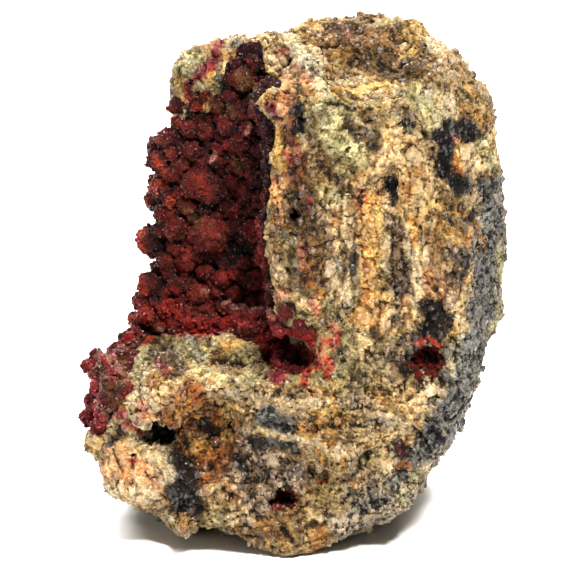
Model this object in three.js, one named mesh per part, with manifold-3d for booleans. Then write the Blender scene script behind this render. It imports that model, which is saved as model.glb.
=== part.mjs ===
// A roselite specimen: a chunk of dolomite and quartz rock with a deep corner hollow, its walls and floor
// coated by one crust of roselite balls that wraps round the rock's left edge. Two small vugs in the front
// hold roselite too. Millimetres, +Z up, front towards -Y, the origin under the middle of the specimen, on
// the flat that it stands on.
//
// The rock is a field: a function of a point, negative inside. Its outline, fracture faces, hollow, pits
// and lumps are joined in that function one after the other, and skinOf() turns a field into a closed mesh.
import * as THREE from "three";
import { mergeVertices } from "three/addons/utils/BufferGeometryUtils.js";
import Module from "manifold-3d";

const wasm = await Module();
wasm.setup();

// ---- Driving dimensions ---------------------------------------------------------------------------------

const ROCK_CELL = 1.66; // mesh size on the rock
const CRUST_CELL = 0.98; // mesh size on the crust
const SEAT_GAP = 0.3; // clearance between roselite and the rock that it grows on

// The outline is the rock's shape to someone who looks along +Y and down by this angle. Points that follow
// are [across, up] on a sheet square to that line of sight, and "depth" is the distance behind that sheet.
const SIGHT = THREE.MathUtils.degToRad(20);
const OUTLINE = [
  [-9.9, 38.3], [-9.3, 39.2], [-7.1, 39.9], [-4.5, 40.4], [-3.1, 40.4], [-2.5, 41.1], [-0.3, 41.9],
  [2.1, 42.2], [4.0, 42.2], [6.1, 42.7], [7.2, 42.3], [8.4, 41.7], [10.1, 42.2], [10.9, 41.7], [11.6, 40.5],
  [13.5, 38.9], [15.7, 36.2], [16.6, 34.3], [17.1, 31.4], [17.6, 29.5], [17.5, 27.4], [17.7, 24.0],
  [17.6, 21.4], [17.4, 17.4], [16.5, 15.2], [15.6, 11.8], [14.0, 7.6], [12.5, 5.7], [11.1, 3.9],
  [10.8, 2.7], [9.4, 0.8], [8.4, 0.1], [6.7, -0.3], [4.8, -1.1], [2.5, -2.0], [0.6, -2.7], [-0.7, -3.1],
  [-2.6, -2.3], [-4.5, -1.4], [-6.6, -0.7], [-8.1, -0.3], [-8.8, -1.4], [-9.8, -1.2], [-11.3, 0.5],
  [-13.2, 1.4], [-15.4, 2.3], [-16.0, 4.0], [-16.1, 5.0], [-17.3, 6.0], [-17.1, 6.8], [-16.4, 7.8],
  [-16.3, 9.9], [-16.2, 12.3], [-16.0, 13.5], [-15.0, 14.6], [-13.5, 16.0], [-12.3, 17.4], [-11.7, 18.9],
  [-10.9, 21.0], [-11.2, 23.5], [-11.2, 25.7], [-10.9, 28.2], [-11.0, 30.8], [-9.9, 32.5], [-10.0, 34.6],
  [-10.1, 36.3],
];
const SEARCH = { from: -26, to: 6, step: 0.2 }; // depths between which a line of sight looks for the rock
const RIM_DEPTH = -7; // depth at which the outline is widest
const RIM_TAPER = 0.006; // how fast it draws in before and behind that, per mm squared
const RIM_ROUGHNESS = 0.25; // share of the relief that shows on it
const RIM_SWELL = 0.35; // makes up for what the rounding takes off it

// Fracture faces: a point on each, and the way it faces.
const FACES = [
  { at: [1.5, -11.9, 0], facing: [0.1, -1, 0.12] }, // main front
  { at: [0, -11.0, 9.5], facing: [0, -1, -0.13] }, // front, undercut low down
  { at: [13.9, -9, 0], facing: [1.5, -1, 0.12] }, // weathered right flank
  { at: [-15, -11.4, 10], facing: [-0.8, -0.6, 0] }, // left end of the ledge
  { at: [3, 0, 41.7], facing: [0, -0.1, 1] }, // top
  { at: [15, 0, 40.8], facing: [0.75, 0.1, 0.65] }, // right shoulder
  { at: [0, 11.9, 15], facing: [0, 1, 0.06] }, // back
  { at: [-9, 9.8, 15], facing: [-0.55, 0.83, 0] }, // back, on the left
  { at: [12, 10.4, 15], facing: [0.6, 0.8, 0] }, // back, on the right
  { at: [0, 12, 37.5], facing: [0, 0.75, 0.66] }, // back, bevelled at the top
  { at: [0, 11.0, 3], facing: [0.1, 0.8, -0.6] }, // back, bevelled at the bottom
];
const FACE_ROUND = 1.8; // rounding where two faces meet
const RIM_ROUND = 0.8; // rounding where a face meets the outline

// The hollow lies above its floor, left of its wall and in front of its back. Each of these faces into it.
const HOLLOW = {
  floor: { at: [-8, 0, 16.4], facing: [0.03, 0, 1] },
  ledge: { at: [-8, -4.5, 16.4], facing: [0.03, -0.25, 1] }, // the floor's front, sloping outwards
  wall: { at: [0, -8.2, 25], facing: [-1, 0.24, 0] }, // x is measured from the crest here
  corner: { at: [0, -8.2, 25], facing: [-0.66, -0.75, 0.1] }, // the strip in front of the crest
  back: { at: [-8, 2, 25], facing: [-0.05, -1, 0.08] },
};
const HOLLOW_ROUND = 2.6; // rounding inside the hollow
const MOUTH_ROUND = 0.6; // rounding at its edges

// The crest is the wall's front edge. It wanders: [up, across] on the sheet.
const CREST = [
  [14, -1.0], [18, -1.1], [20, -1.8], [21.8, -1.9], [24, -2.5], [25.2, -2.5], [27.6, -2.0], [30.6, -2.1],
  [32.9, -2.1], [34.4, -3.0], [36.1, -2.7], [37.4, -1.7], [38.4, -1.9], [41, -2.6],
];
// The rock's relief is weaker near it and between these depths behind it, but not low down on the sheet.
const CREST_CALM = { share: 0.25, within: 5, y: [-8.2, -2.5], above: [9, 12] };

// Pits bite into the rock and lumps stand out of it: ellipsoids placed on the sheet, their middles sunk by
// "sunk" mm along the line of sight, with radii across, along and up.
const PITS = [
  { on: [-0.2, 14.0], sunk: 1.6, radii: [2.3, 3.6, 2.0] }, // cavern at the foot of the wall
  { on: [-7.0, 6.6], sunk: -0.8, radii: [3.2, 3.2, 3.9] }, // rusty scoop under the ledge
  { on: [-10.8, 7.4], sunk: 0.0, radii: [1.2, 2.4, 1.0] }, // dark hole left of it
  { on: [-3.9, 4.3], sunk: 0.0, radii: [0.9, 1.4, 2.4] }, // cleft right of it
  { on: [7.6, 38.4], sunk: -1.2, radii: [4.6, 5.0, 2.6] }, // scoop in the top
  { on: [13.0, 31.2], sunk: -0.2, radii: [2.0, 1.5, 3.0] }, // dark pocket at the upper right
  { on: [11.6, 16.6], sunk: -0.2, radii: [1.3, 1.2, 1.7] }, // dark pocket above the right vug
  { on: [0.6, 33.3], sunk: 0.0, radii: [0.5, 1.4, 1.5] }, // cleft in the hollow's front corner
];
const LUMPS = [
  { on: [10.6, 39.6], sunk: 1.6, radii: [2.3, 3.6, 2.3] }, // hump on the top's right
  { on: [-0.7, 30.3], sunk: 0.3, radii: [0.9, 1.0, 1.0] }, // knobs down the hollow's front corner
  { on: [-1.2, 26.9], sunk: 0.3, radii: [0.8, 1.0, 1.0] },
  { on: [-1.7, 34.9], sunk: 0.3, radii: [1.0, 1.0, 1.2] },
  { on: [-0.9, 38.4], sunk: 0.4, radii: [1.2, 1.2, 1.4] },
  { on: [0.3, 21.3], sunk: 0.4, radii: [1.4, 1.2, 1.6] },
  { on: [-3.9, 13.4], sunk: -0.6, radii: [2.7, 2.6, 3.1] }, // left of the cavern, at the floor's edge
  { on: [1.6, 37.2], sunk: 0.4, radii: [2.0, 1.2, 1.2] },
  { on: [3.2, 24.0], sunk: 0.6, radii: [1.6, 1.2, 2.8] }, // swellings of the main front
  { on: [6.6, 24.6], sunk: 0.6, radii: [1.3, 1.2, 4.2] },
  { on: [5.7, 17.0], sunk: 0.5, radii: [1.6, 1.2, 2.0] },
  { on: [13.2, 23.0], sunk: 0.5, radii: [1.4, 1.2, 3.4] },
  { on: [-8.8, 11.2], sunk: 0.6, radii: [3.6, 1.5, 1.3] }, // rim over the rusty scoop
  { on: [-1.4, 9.4], sunk: 0.4, radii: [3.4, 1.3, 0.9] }, // bands that run down to the right
  { on: [4.4, 6.4], sunk: 0.4, radii: [3.8, 1.3, 0.9] },
  { on: [-13.6, 4.0], sunk: 0.8, radii: [2.2, 1.8, 2.0] }, // pink corner, low on the left
  { on: [-9.3, -0.1], sunk: 0.8, radii: [1.1, 2.0, 1.3] }, // spur under it
];
const BITE_ROUND = 0.6;

// Rough relief: a sum of plane waves from the longest to the shortest, with this root mean square height.
const RELIEF = { waves: 20, longest: 15, shortest: 3.6, height: 0.53, steepness: 0.7, shift: 1.7 };

// Crystals with flat faces that stand in the rock, placed the same way: size, and turn in degrees about X,
// Y and Z.
const CRYSTALS = [
  { on: [-5.7, 14.7], sunk: 0.2, size: [2.2, 1.8, 1.7], turn: [12, 18, 25] }, // cream block on the ledge
  { on: [13.8, 30.8], sunk: 0.2, size: [2.1, 2.0, 2.3], turn: [20, 30, 15] }, // in the dark pocket
  { on: [-12.6, 8.0], sunk: 0.2, size: [1.9, 1.5, 1.1], turn: [10, 20, 40] }, // quartz at the ledge's left
  { on: [-11.6, 10.2], sunk: 0.2, size: [2.0, 1.4, 1.2], turn: [25, 35, 20] },
  { on: [5.7, 16.9], sunk: -0.2, size: [1.6, 1.4, 2.0], turn: [5, 20, 30] }, // dolomite of the main front
  { on: [2.4, 22.6], sunk: 0.1, size: [1.6, 1.4, 2.4], turn: [8, 12, 50] },
  { on: [-1.8, 5.2], sunk: 0.2, size: [1.7, 1.3, 1.2], turn: [20, 35, 10] }, // blocks of the low breccia
  { on: [0.6, 3.6], sunk: 0.2, size: [1.2, 1.2, 1.8], turn: [15, 40, 30] },
  { on: [-16.3, 6.5], sunk: 0.4, size: [1.6, 1.5, 1.5], turn: [30, 20, 45] }, // yellow, at the left end
];

// The crust of the hollow: where it grows, as an area of the sheet, and how far back.
const CRUST_AREA = [
  [-30, 33.9], [-10.3, 33.9], [-9.1, 34.8], [-7.2, 34.4], [-6.2, 36.1], [-5.7, 38.7], [-4.5, 40.1],
  [-2.6, 40.4], [-2.2, 37.6], [2.5, 34.5], [2.5, 18.0], [1.9, 16.8], [2.2, 15.2], [1.7, 13.2], [0.4, 12.0],
  [-0.9, 12.1], [-2.0, 12.9], [-2.9, 14.7], [-4.5, 15.0], [-6.6, 15.6], [-9.6, 15.6], [-12.2, 15.2],
  [-13.0, 14.0], [-13.7, 12.3], [-13.3, 11.0], [-14.0, 10.1], [-15.4, 8.9], [-15.9, 7.2], [-30, 7.2],
];
const CRUST_LIMIT = { at: [-11, 4.6, 20], facing: [-0.6, 0.8, 0] }; // it thins out towards this face
const CRUST_THINS = { over: 3, by: 0.2 }; // the distance over which it does, and how much per mm
const CRUST_BEHIND = 4.5; // it ends here at the back
const CREST_CLEAR = 1.2; // it keeps this far behind the crest
const CRUST_REACH = 1.0; // and no further than this outside the hollow...
const CRUST_FREE = { left: [-3.5, -9], low: 17.5, gain: 2 }; // ...but for its left end and the cavern
const CAVERN_OPEN = { on: [-0.2, 14.0], sunk: 0.8, radii: [1.7, 5.0, 1.4] }; // it leaves this open
const CRUST_SKIN = 0.9; // how high it stands on the rock between its balls
const CRUST_ROOT = 1.0; // how deep it is drawn into the rock, before the rock is taken away from it

// Its balls, as [across, up, radius] on the sheet: each stands on the rock where the line of sight meets
// it.
const BALLS = [
  [-11.2, 31.2, 1.2], [-9.6, 33.0, 0.85], [-7.7, 34.6, 0.8], [-5.9, 32.8, 0.9], [-7.9, 32.2, 0.95],
  [-9.9, 29.4, 0.9], [-8.5, 30.6, 0.9], [-7.4, 27.9, 1.6], [-11.7, 26.9, 1.1], [-9.9, 26.9, 0.85],
  [-4.2, 37.1, 1.1], [-3.5, 35.0, 0.9], [-3.9, 32.7, 0.85], [-5.4, 30.8, 0.95], [-3.6, 29.4, 0.9],
  [-12.0, 23.5, 1.4], [-9.8, 24.5, 1.2], [-7.0, 24.1, 1.7], [-5.0, 26.2, 0.95], [-3.3, 26.4, 0.85],
  [-2.9, 22.2, 0.95], [-4.5, 23.3, 0.9], [-8.6, 21.9, 1.05], [-6.4, 20.6, 0.9], [-4.6, 20.6, 0.95],
  [-10.7, 21.5, 0.85], [-12.0, 19.6, 1.15], [-9.9, 19.4, 0.9], [-8.0, 19.2, 0.95], [-3.2, 18.6, 0.85],
  [-1.7, 18.6, 0.85], [-5.8, 18.0, 0.85], [-4.5, 16.8, 1.15], [-2.5, 16.7, 1.25], [-0.7, 16.9, 0.85],
  [0.7, 16.4, 0.85], [-11.1, 17.7, 0.9], [-9.3, 17.1, 0.9], [-12.9, 17.1, 0.9], [-7.3, 16.6, 0.85],
  [-14.0, 15.3, 0.9], [-13.4, 16.4, 0.8], [-14.8, 12.2, 0.85],
  [-16.2, 11.4, 0.85], [-15.4, 9.9, 0.85], [-16.9, 8.8, 0.95], [-16.6, 13.4, 0.8],
];
const BALL_STANDS = [0.6, 0.3]; // how far a ball's centre stands out: a share of its radius, and more
const BALL_BLEND = 0.15; // how softly balls run into each other

// More balls fill the rest of the crust, such as the side of the wall: how many points are tried, how far
// inside the crust's room and how near to the rock's surface one has to be, and the distance between balls
// and their radii.
const FILLERS = { tries: 6000, inside: 0.7, near: 0.6, spacing: 2.0, radii: [0.8, 1.25] };

// Small vugs: a pit cut into the rock, and a cluster of roselite balls in it, as [x, y, z, radius] from its
// centre.
const VUGS = [
  {
    name: "right_vug_roselite",
    at: [11.4, -8.3, 17.5],
    radii: [1.4, 2.0, 1.4],
    cluster: [[-0.4, 0.6, 0.3, 0.6], [0.45, 0.7, 0.25, 0.55], [0.1, 0.4, -0.45, 0.6], [-0.5, 0.1, -0.3, 0.4]],
  },
  {
    name: "low_vug_roselite",
    at: [-0.9, -9.7, 5.3],
    radii: [1.35, 1.8, 1.2],
    cluster: [[-0.4, 0.5, 0.1, 0.55], [0.4, 0.6, 0.1, 0.5], [0, 0.3, -0.3, 0.45], [0.55, 0.1, 0, 0.35]],
  },
];

const ROCK_LOOK = { color: "#a08d68", roughness: 0.75 };
const ROSELITE_LOOK = { color: "#6e1a1c", roughness: 0.3 };

// The space that the fields are sampled in.
const ROCK_SPACE = { low: [-21, -15, -3], high: [21, 15, 47] };
const CRUST_SPACE = { low: [-21, -14, 6], high: [5, 7, 44] };

// ---- Fields ---------------------------------------------------------------------------------------------

function smoothMax(a, b, round) {
  const overlap = Math.max(round - Math.abs(a - b), 0);
  return Math.max(a, b) + (overlap * overlap) / (4 * round);
}

const smoothMin = (a, b, round) => -smoothMax(-a, -b, round);

// The sheet that the outline is drawn on: up it, and behind it.
const upOf = (y, z) => z * Math.cos(SIGHT) + y * Math.sin(SIGHT);
const depthOf = (y, z) => y * Math.cos(SIGHT) - z * Math.sin(SIGHT);
const pointAt = (up, depth) => [
  depth * Math.cos(SIGHT) + up * Math.sin(SIGHT),
  up * Math.cos(SIGHT) - depth * Math.sin(SIGHT),
];

// Distance in front of a face.
function beyond({ at, facing }, x, y, z) {
  const [a, b, c] = facing;
  return ((x - at[0]) * a + (y - at[1]) * b + (z - at[2]) * c) / Math.hypot(a, b, c);
}

function ellipsoid({ at, radii }, x, y, z) {
  const reach = Math.hypot((x - at[0]) / radii[0], (y - at[1]) / radii[1], (z - at[2]) / radii[2]);
  return (reach - 1) * Math.min(...radii);
}

// Distance from a closed outline on the sheet, negative inside it.
function outline(points, across, up) {
  let nearest = Infinity;
  let inside = false;
  points.forEach(([ax, ay], i) => {
    const [bx, by] = points[(i + 1) % points.length];
    const [ex, ey] = [bx - ax, by - ay];
    const along = ((across - ax) * ex + (up - ay) * ey) / (ex * ex + ey * ey);
    const held = THREE.MathUtils.clamp(along, 0, 1);
    nearest = Math.min(nearest, Math.hypot(across - ax - ex * held, up - ay - ey * held));
    if (ay > up !== by > up && across < ax + (ex * (up - ay)) / ey) inside = !inside;
  });
  return inside ? -nearest : nearest;
}

// The waves of the relief turn by the golden angle, so that no two run the same way.
const GOLDEN_ANGLE = Math.PI * (3 - Math.sqrt(5));
const waves = Array.from({ length: RELIEF.waves }, (_, i) => {
  const length = RELIEF.longest * (RELIEF.shortest / RELIEF.longest) ** (i / (RELIEF.waves - 1));
  const rise = (2 * ((i * 7) % RELIEF.waves) + 1) / RELIEF.waves - 1;
  const flat = Math.sqrt(1 - rise * rise);
  const turn = i * GOLDEN_ANGLE;
  const turned = [flat * Math.cos(turn), flat * Math.sin(turn), rise];
  const way = turned.map((part) => (part * 2 * Math.PI) / length);
  return { way, phase: i * RELIEF.shift, height: length ** RELIEF.steepness };
});
const waveScale = RELIEF.height / Math.sqrt(waves.reduce((sum, wave) => sum + wave.height ** 2 / 2, 0));

function relief(x, y, z) {
  let sum = 0;
  for (const { way, phase, height } of waves)
    sum += height * Math.sin(way[0] * x + way[1] * y + way[2] * z + phase);
  return sum * waveScale;
}

// How far right of the crest a point is.
function fromCrest(x, up) {
  const next = CREST.findIndex(([height]) => height > up);
  if (next <= 0) return x - CREST.at(Math.min(next, 0))[1];
  const [[low, from], [high, to]] = [CREST[next - 1], CREST[next]];
  return x - THREE.MathUtils.lerp(from, to, (up - low) / (high - low));
}

// Negative inside the hollow.
function hollow(x, y, z) {
  const above = smoothMin(-beyond(HOLLOW.floor, x, y, z), -beyond(HOLLOW.ledge, x, y, z), MOUTH_ROUND);
  const right = fromCrest(x, upOf(y, z));
  const [wall, corner] = [HOLLOW.wall, HOLLOW.corner].map((face) => -beyond(face, right, y, z));
  const beside = smoothMin(wall, corner, MOUTH_ROUND);
  return smoothMax(smoothMax(above, beside, HOLLOW_ROUND), -beyond(HOLLOW.back, x, y, z), HOLLOW_ROUND);
}

// Faces and hollow, without the outline.
function chunk(x, y, z) {
  const fronts = FACES.map((face) => beyond(face, x, y, z));
  const block = fronts.reduce((f, front) => smoothMax(f, front, FACE_ROUND));
  return smoothMax(block, -hollow(x, y, z), MOUTH_ROUND);
}

// Share of the relief that is left near the crest.
function calm(x, y, z) {
  const { share, within, above } = CREST_CALM;
  const off = Math.hypot(fromCrest(x, upOf(y, z)), y - THREE.MathUtils.clamp(y, ...CREST_CALM.y));
  const away = THREE.MathUtils.smoothstep(off, 0, within);
  const below = 1 - THREE.MathUtils.smoothstep(upOf(y, z), ...above);
  return share + (1 - share) * Math.max(away, below);
}

function outlined(f, x, y, z) {
  const rim = outline(OUTLINE, x, upOf(y, z)) + RIM_TAPER * (depthOf(y, z) - RIM_DEPTH) ** 2 - RIM_SWELL;
  const rough = relief(x, y, z) * calm(x, y, z);
  return smoothMax(f + rough, rim + rough * RIM_ROUGHNESS, RIM_ROUND);
}

// The point where the line of sight through a place on the sheet first meets the rock, or else comes
// nearest to it, moved on by "sunk". Lumps and pits don't count.
function seatOf([across, up], sunk) {
  let nearest = { f: Infinity };
  for (let depth = SEARCH.from; depth < SEARCH.to && nearest.f > 0; depth += SEARCH.step) {
    const [y, z] = pointAt(up, depth);
    const f = outlined(chunk(across, y, z), across, y, z);
    if (f < nearest.f) nearest = { f, depth };
  }
  return [across, ...pointAt(up, nearest.depth + sunk)];
}

const seated = (spec) => ({ ...spec, at: seatOf(spec.on, spec.sunk) });
const lumps = LUMPS.map(seated);
const pits = PITS.map(seated);
const cavern = seated(CAVERN_OPEN);
const crystals = CRYSTALS.map(seated);

function rock(x, y, z) {
  let f = chunk(x, y, z);
  for (const lump of lumps) f = smoothMin(f, ellipsoid(lump, x, y, z), BITE_ROUND);
  for (const pit of pits) f = smoothMax(f, -ellipsoid(pit, x, y, z), BITE_ROUND);
  return outlined(f, x, y, z);
}

// How far inside the room of the crust a point is, as a negative number.
function crustRoom(x, y, z) {
  const { left, low, gain } = CRUST_FREE;
  const free = left.map((from) => gain * (Math.max(from - x, 0) + Math.max(low - upOf(y, z), 0)));
  const front = HOLLOW.wall.at[1] + CREST_CLEAR - y - free[0];
  const outside = hollow(x, y, z) - CRUST_REACH - free[1];
  const area = Math.max(outline(CRUST_AREA, x, upOf(y, z)), -ellipsoid(cavern, x, y, z));
  return Math.max(area, beyond(CRUST_LIMIT, x, y, z), y - CRUST_BEHIND, front, outside);
}

const standOut = (radius) => BALL_STANDS[0] * radius + BALL_STANDS[1];
const SLOPE_STEP = 0.1; // distance over which the rock's slope is measured

// Balls on the rock at points of an evenly spread sequence, wherever no ball is near.
function fillers(taken) {
  const spread = [0.8191725, 0.6710436, 0.5497005]; // powers of one over the root of x^4 = x + 1
  const { low, high } = CRUST_SPACE;
  const found = [];
  for (let i = 0; i < FILLERS.tries; i++) {
    const [x, y, z] = spread.map((part, d) => low[d] + ((i * part) % 1) * (high[d] - low[d]));
    if (crustRoom(x, y, z) > -FILLERS.inside) continue;
    const height = rock(x, y, z);
    if (Math.abs(height) > FILLERS.near) continue;
    const slope = new THREE.Vector3(
      rock(x + SLOPE_STEP, y, z) - height,
      rock(x, y + SLOPE_STEP, z) - height,
      rock(x, y, z + SLOPE_STEP) - height,
    ).normalize();
    const radius = THREE.MathUtils.lerp(...FILLERS.radii, (i * spread[0]) % 1);
    const at = new THREE.Vector3(x, y, z).addScaledVector(slope, standOut(radius) - height).toArray();
    const apart = ({ at: other }) => Math.hypot(...other.map((v, d) => v - at[d])) > FILLERS.spacing;
    if ([...taken, ...found].every(apart)) found.push({ at, radius });
  }
  return found;
}

const balls = BALLS.map(([across, up, radius]) => ({ at: seatOf([across, up], -standOut(radius)), radius }));
balls.push(...fillers(balls));

function crust(x, y, z) {
  const height = rock(x, y, z);
  const room = crustRoom(x, y, z);
  const thinned = Math.max(0, beyond(CRUST_LIMIT, x, y, z) + CRUST_THINS.over) * CRUST_THINS.by;
  let f = height - CRUST_SKIN + thinned;
  for (const { at, radius } of balls) {
    const off = Math.hypot(x - at[0], y - at[1], z - at[2]) - radius;
    if (off < f + BALL_BLEND) f = smoothMin(f, off, BALL_BLEND);
  }
  return Math.max(smoothMax(f, room, BALL_BLEND), -CRUST_ROOT - height);
}

// ---- Solids ---------------------------------------------------------------------------------------------

const CORNERS = Array.from({ length: 8 }, (_, c) => [c & 1, (c >> 1) & 1, (c >> 2) & 1]);

// Whether the corners of a cell with this sign hang together along its edges.
function hangsTogether(mask) {
  if (!mask) return true;
  let reached = mask & -mask;
  for (let pass = 0; pass < 8; pass++)
    for (let c = 0; c < 8; c++)
      if ((reached >> c) & 1) for (const d of [1, 2, 4]) reached |= mask & (1 << (c ^ d));
  return reached === mask;
}
const PINCHED = Array.from({ length: 256 }, (_, mask) => !hangsTogether(mask) || !hangsTogether(255 - mask));

const FILLED = 0.05; // how deep a filled corner counts as, in cells

// A field's values on a grid of points. Where a cell would pinch the skin, its corner nearest to the skin
// on the outside is filled, until none does.
function sample(field, { low, high }, cell) {
  const count = low.map((from, d) => Math.ceil((high[d] - from) / cell) + 1);
  const step = [1, count[0], count[0] * count[1]];
  const values = new Float64Array(count[0] * count[1] * count[2]);
  const cells = [];
  for (let k = 0, at = 0; k < count[2]; k++)
    for (let j = 0; j < count[1]; j++)
      for (let i = 0; i < count[0]; i++, at++) {
        values[at] = field(low[0] + i * cell, low[1] + j * cell, low[2] + k * cell);
        if (i < count[0] - 1 && j < count[1] - 1 && k < count[2] - 1) cells.push({ at, place: [i, j, k] });
      }
  const reach = CORNERS.map((corner) => corner[0] + corner[1] * step[1] + corner[2] * step[2]);
  for (let pinches = true; pinches; ) {
    pinches = false;
    for (const { at } of cells) {
      const mask = reach.reduce((bits, to, c) => bits | ((values[at + to] < 0) << c), 0);
      if (!PINCHED[mask]) continue;
      const outside = reach.filter((to) => values[at + to] >= 0);
      const nearest = outside.reduce((a, b) => (values[at + b] < values[at + a] ? b : a));
      values[at + nearest] = -FILLED * cell;
      pinches = true;
    }
  }
  return { values, cells, reach, step };
}

// The closed skin where a field crosses zero, by surface nets: a vertex in each cell that the skin passes
// through, and a quad round each cell edge that it cuts.
function skinOf(field, space, cell) {
  const { values, cells, reach, step } = sample(field, space, cell);
  const vertexOf = new Map();
  const position = [];
  for (const { at, place } of cells) {
    const cuts = [];
    for (let c = 0; c < 8; c++)
      for (let d = 0; d < 3; d++) {
        const [a, b] = [values[at + reach[c]], values[at + reach[c | (1 << d)]]];
        if (CORNERS[c][d] || a < 0 === b < 0) continue;
        cuts.push(CORNERS[c].map((v, axis) => (axis === d ? a / (a - b) : v)));
      }
    if (!cuts.length) continue;
    vertexOf.set(at, position.length / 3);
    for (let d = 0; d < 3; d++) {
      const middle = cuts.reduce((sum, cut) => sum + cut[d], 0) / cuts.length;
      position.push(space.low[d] + (place[d] + middle) * cell);
    }
  }
  const index = [];
  for (const at of vertexOf.keys())
    for (let d = 0; d < 3; d++) {
      const inside = values[at] < 0;
      if (inside === values[at + step[d]] < 0) continue;
      const [e, g] = [step[(d + 1) % 3], step[(d + 2) % 3]];
      const ring = [at, at - e, at - e - g, at - g].map((neighbour) => vertexOf.get(neighbour));
      if (!inside) ring.reverse();
      index.push(ring[0], ring[1], ring[2], ring[0], ring[2], ring[3]);
    }
  return closed(position, index);
}

function closed(position, index) {
  const vertProperties = new Float32Array(position);
  const triVerts = new Uint32Array(index);
  return new wasm.Manifold(new wasm.Mesh({ numProp: 3, vertProperties, triVerts }));
}

function solidOf(geometry) {
  geometry.deleteAttribute("normal");
  geometry.deleteAttribute("uv");
  const { attributes, index } = mergeVertices(geometry);
  return closed(attributes.position.array, index.array);
}

const largest = (solid) => solid.decompose().sort((a, b) => b.volume() - a.volume())[0];

function pebble([x, y, z], radii, detail) {
  return solidOf(new THREE.IcosahedronGeometry(1, detail).scale(...radii).translate(x, y, z));
}

function crystal({ at, size, turn }) {
  const euler = new THREE.Euler(...turn.map(THREE.MathUtils.degToRad));
  const place = new THREE.Matrix4().makeRotationFromEuler(euler).setPosition(...at);
  return solidOf(new THREE.BoxGeometry(...size).applyMatrix4(place));
}

// The stone, without the vugs' hollows and whatever is under the ground.
function hostRock() {
  let solid = skinOf(rock, ROCK_SPACE, ROCK_CELL);
  for (const spec of crystals) solid = solid.add(crystal(spec));
  for (const { at, radii } of VUGS) solid = solid.subtract(pebble(at, radii, 1));
  const ground = solidOf(new THREE.BoxGeometry(90, 90, 20).translate(0, 0, -10));
  return largest(solid.subtract(ground));
}

// The crust without the rock, which is taken away a little larger than it is, crystals included.
function hollowCrust() {
  let solid = skinOf(crust, CRUST_SPACE, CRUST_CELL);
  solid = solid.subtract(skinOf((x, y, z) => rock(x, y, z) - SEAT_GAP, ROCK_SPACE, ROCK_CELL));
  for (const spec of crystals) {
    solid = solid.subtract(crystal({ ...spec, size: spec.size.map((side) => side + 2 * SEAT_GAP) }));
  }
  return largest(solid);
}

function vugRoselite({ at, cluster }) {
  const grown = cluster.map(([x, y, z, r]) => pebble([at[0] + x, at[1] + y, at[2] + z], [r, r, r], 0));
  return largest(grown.reduce((all, ball) => all.add(ball)));
}

function meshOf(name, solid, look) {
  const { vertProperties, triVerts } = solid.getMesh();
  const geometry = new THREE.BufferGeometry();
  geometry.setAttribute("position", new THREE.BufferAttribute(vertProperties, 3));
  geometry.setIndex(new THREE.BufferAttribute(triVerts, 1));
  const mesh = new THREE.Mesh(geometry, new THREE.MeshStandardMaterial(look));
  mesh.name = name;
  return mesh;
}

const specimen = new THREE.Group();
specimen.add(meshOf("host_rock", hostRock(), ROCK_LOOK));
specimen.add(meshOf("roselite_crust", hollowCrust(), ROSELITE_LOOK));
for (const vug of VUGS) specimen.add(meshOf(vug.name, vugRoselite(vug), ROSELITE_LOOK));

export default specimen;
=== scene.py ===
"""A roselite specimen on a pale studio floor: rough dolomite and quartz rock whose corner hollow is coated
by balls of dark red roselite crystals. Sizes are in millimetres until a mesh is made, then in metres.

The rock and the crust are fields, functions of points that are negative inside. A field is sampled near
its skin on a fine grid and turned into a mesh, which then gets its broken grains. Colours are worked out
for each vertex, from noise and from listed patches of minerals, and materials add what is finer
than that."""

import math

import bmesh
import bpy
import numpy as np
import openvdb
from mathutils import Euler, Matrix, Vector


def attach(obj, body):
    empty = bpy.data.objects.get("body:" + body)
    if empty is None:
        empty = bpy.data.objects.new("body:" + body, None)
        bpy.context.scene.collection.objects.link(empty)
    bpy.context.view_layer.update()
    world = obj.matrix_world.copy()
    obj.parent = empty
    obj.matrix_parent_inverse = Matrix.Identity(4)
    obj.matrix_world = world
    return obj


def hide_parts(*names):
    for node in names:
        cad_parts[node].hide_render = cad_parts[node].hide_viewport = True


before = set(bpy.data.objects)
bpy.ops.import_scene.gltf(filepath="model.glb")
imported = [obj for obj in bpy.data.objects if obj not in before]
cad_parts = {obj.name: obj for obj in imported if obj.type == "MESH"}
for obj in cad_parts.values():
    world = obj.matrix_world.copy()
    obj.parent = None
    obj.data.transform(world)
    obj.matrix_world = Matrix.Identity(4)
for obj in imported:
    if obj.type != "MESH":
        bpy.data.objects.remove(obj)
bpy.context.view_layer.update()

MM = 0.001
BODY = "root"

# ---- Driving dimensions, in mm -----------------------------------------------------------------------

ROCK_CELL = 0.21  # grid of the rock before its triangles are thinned out
CRUST_CELL = 0.125
MOST_TRIANGLES = 192000  # of one piece

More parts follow.
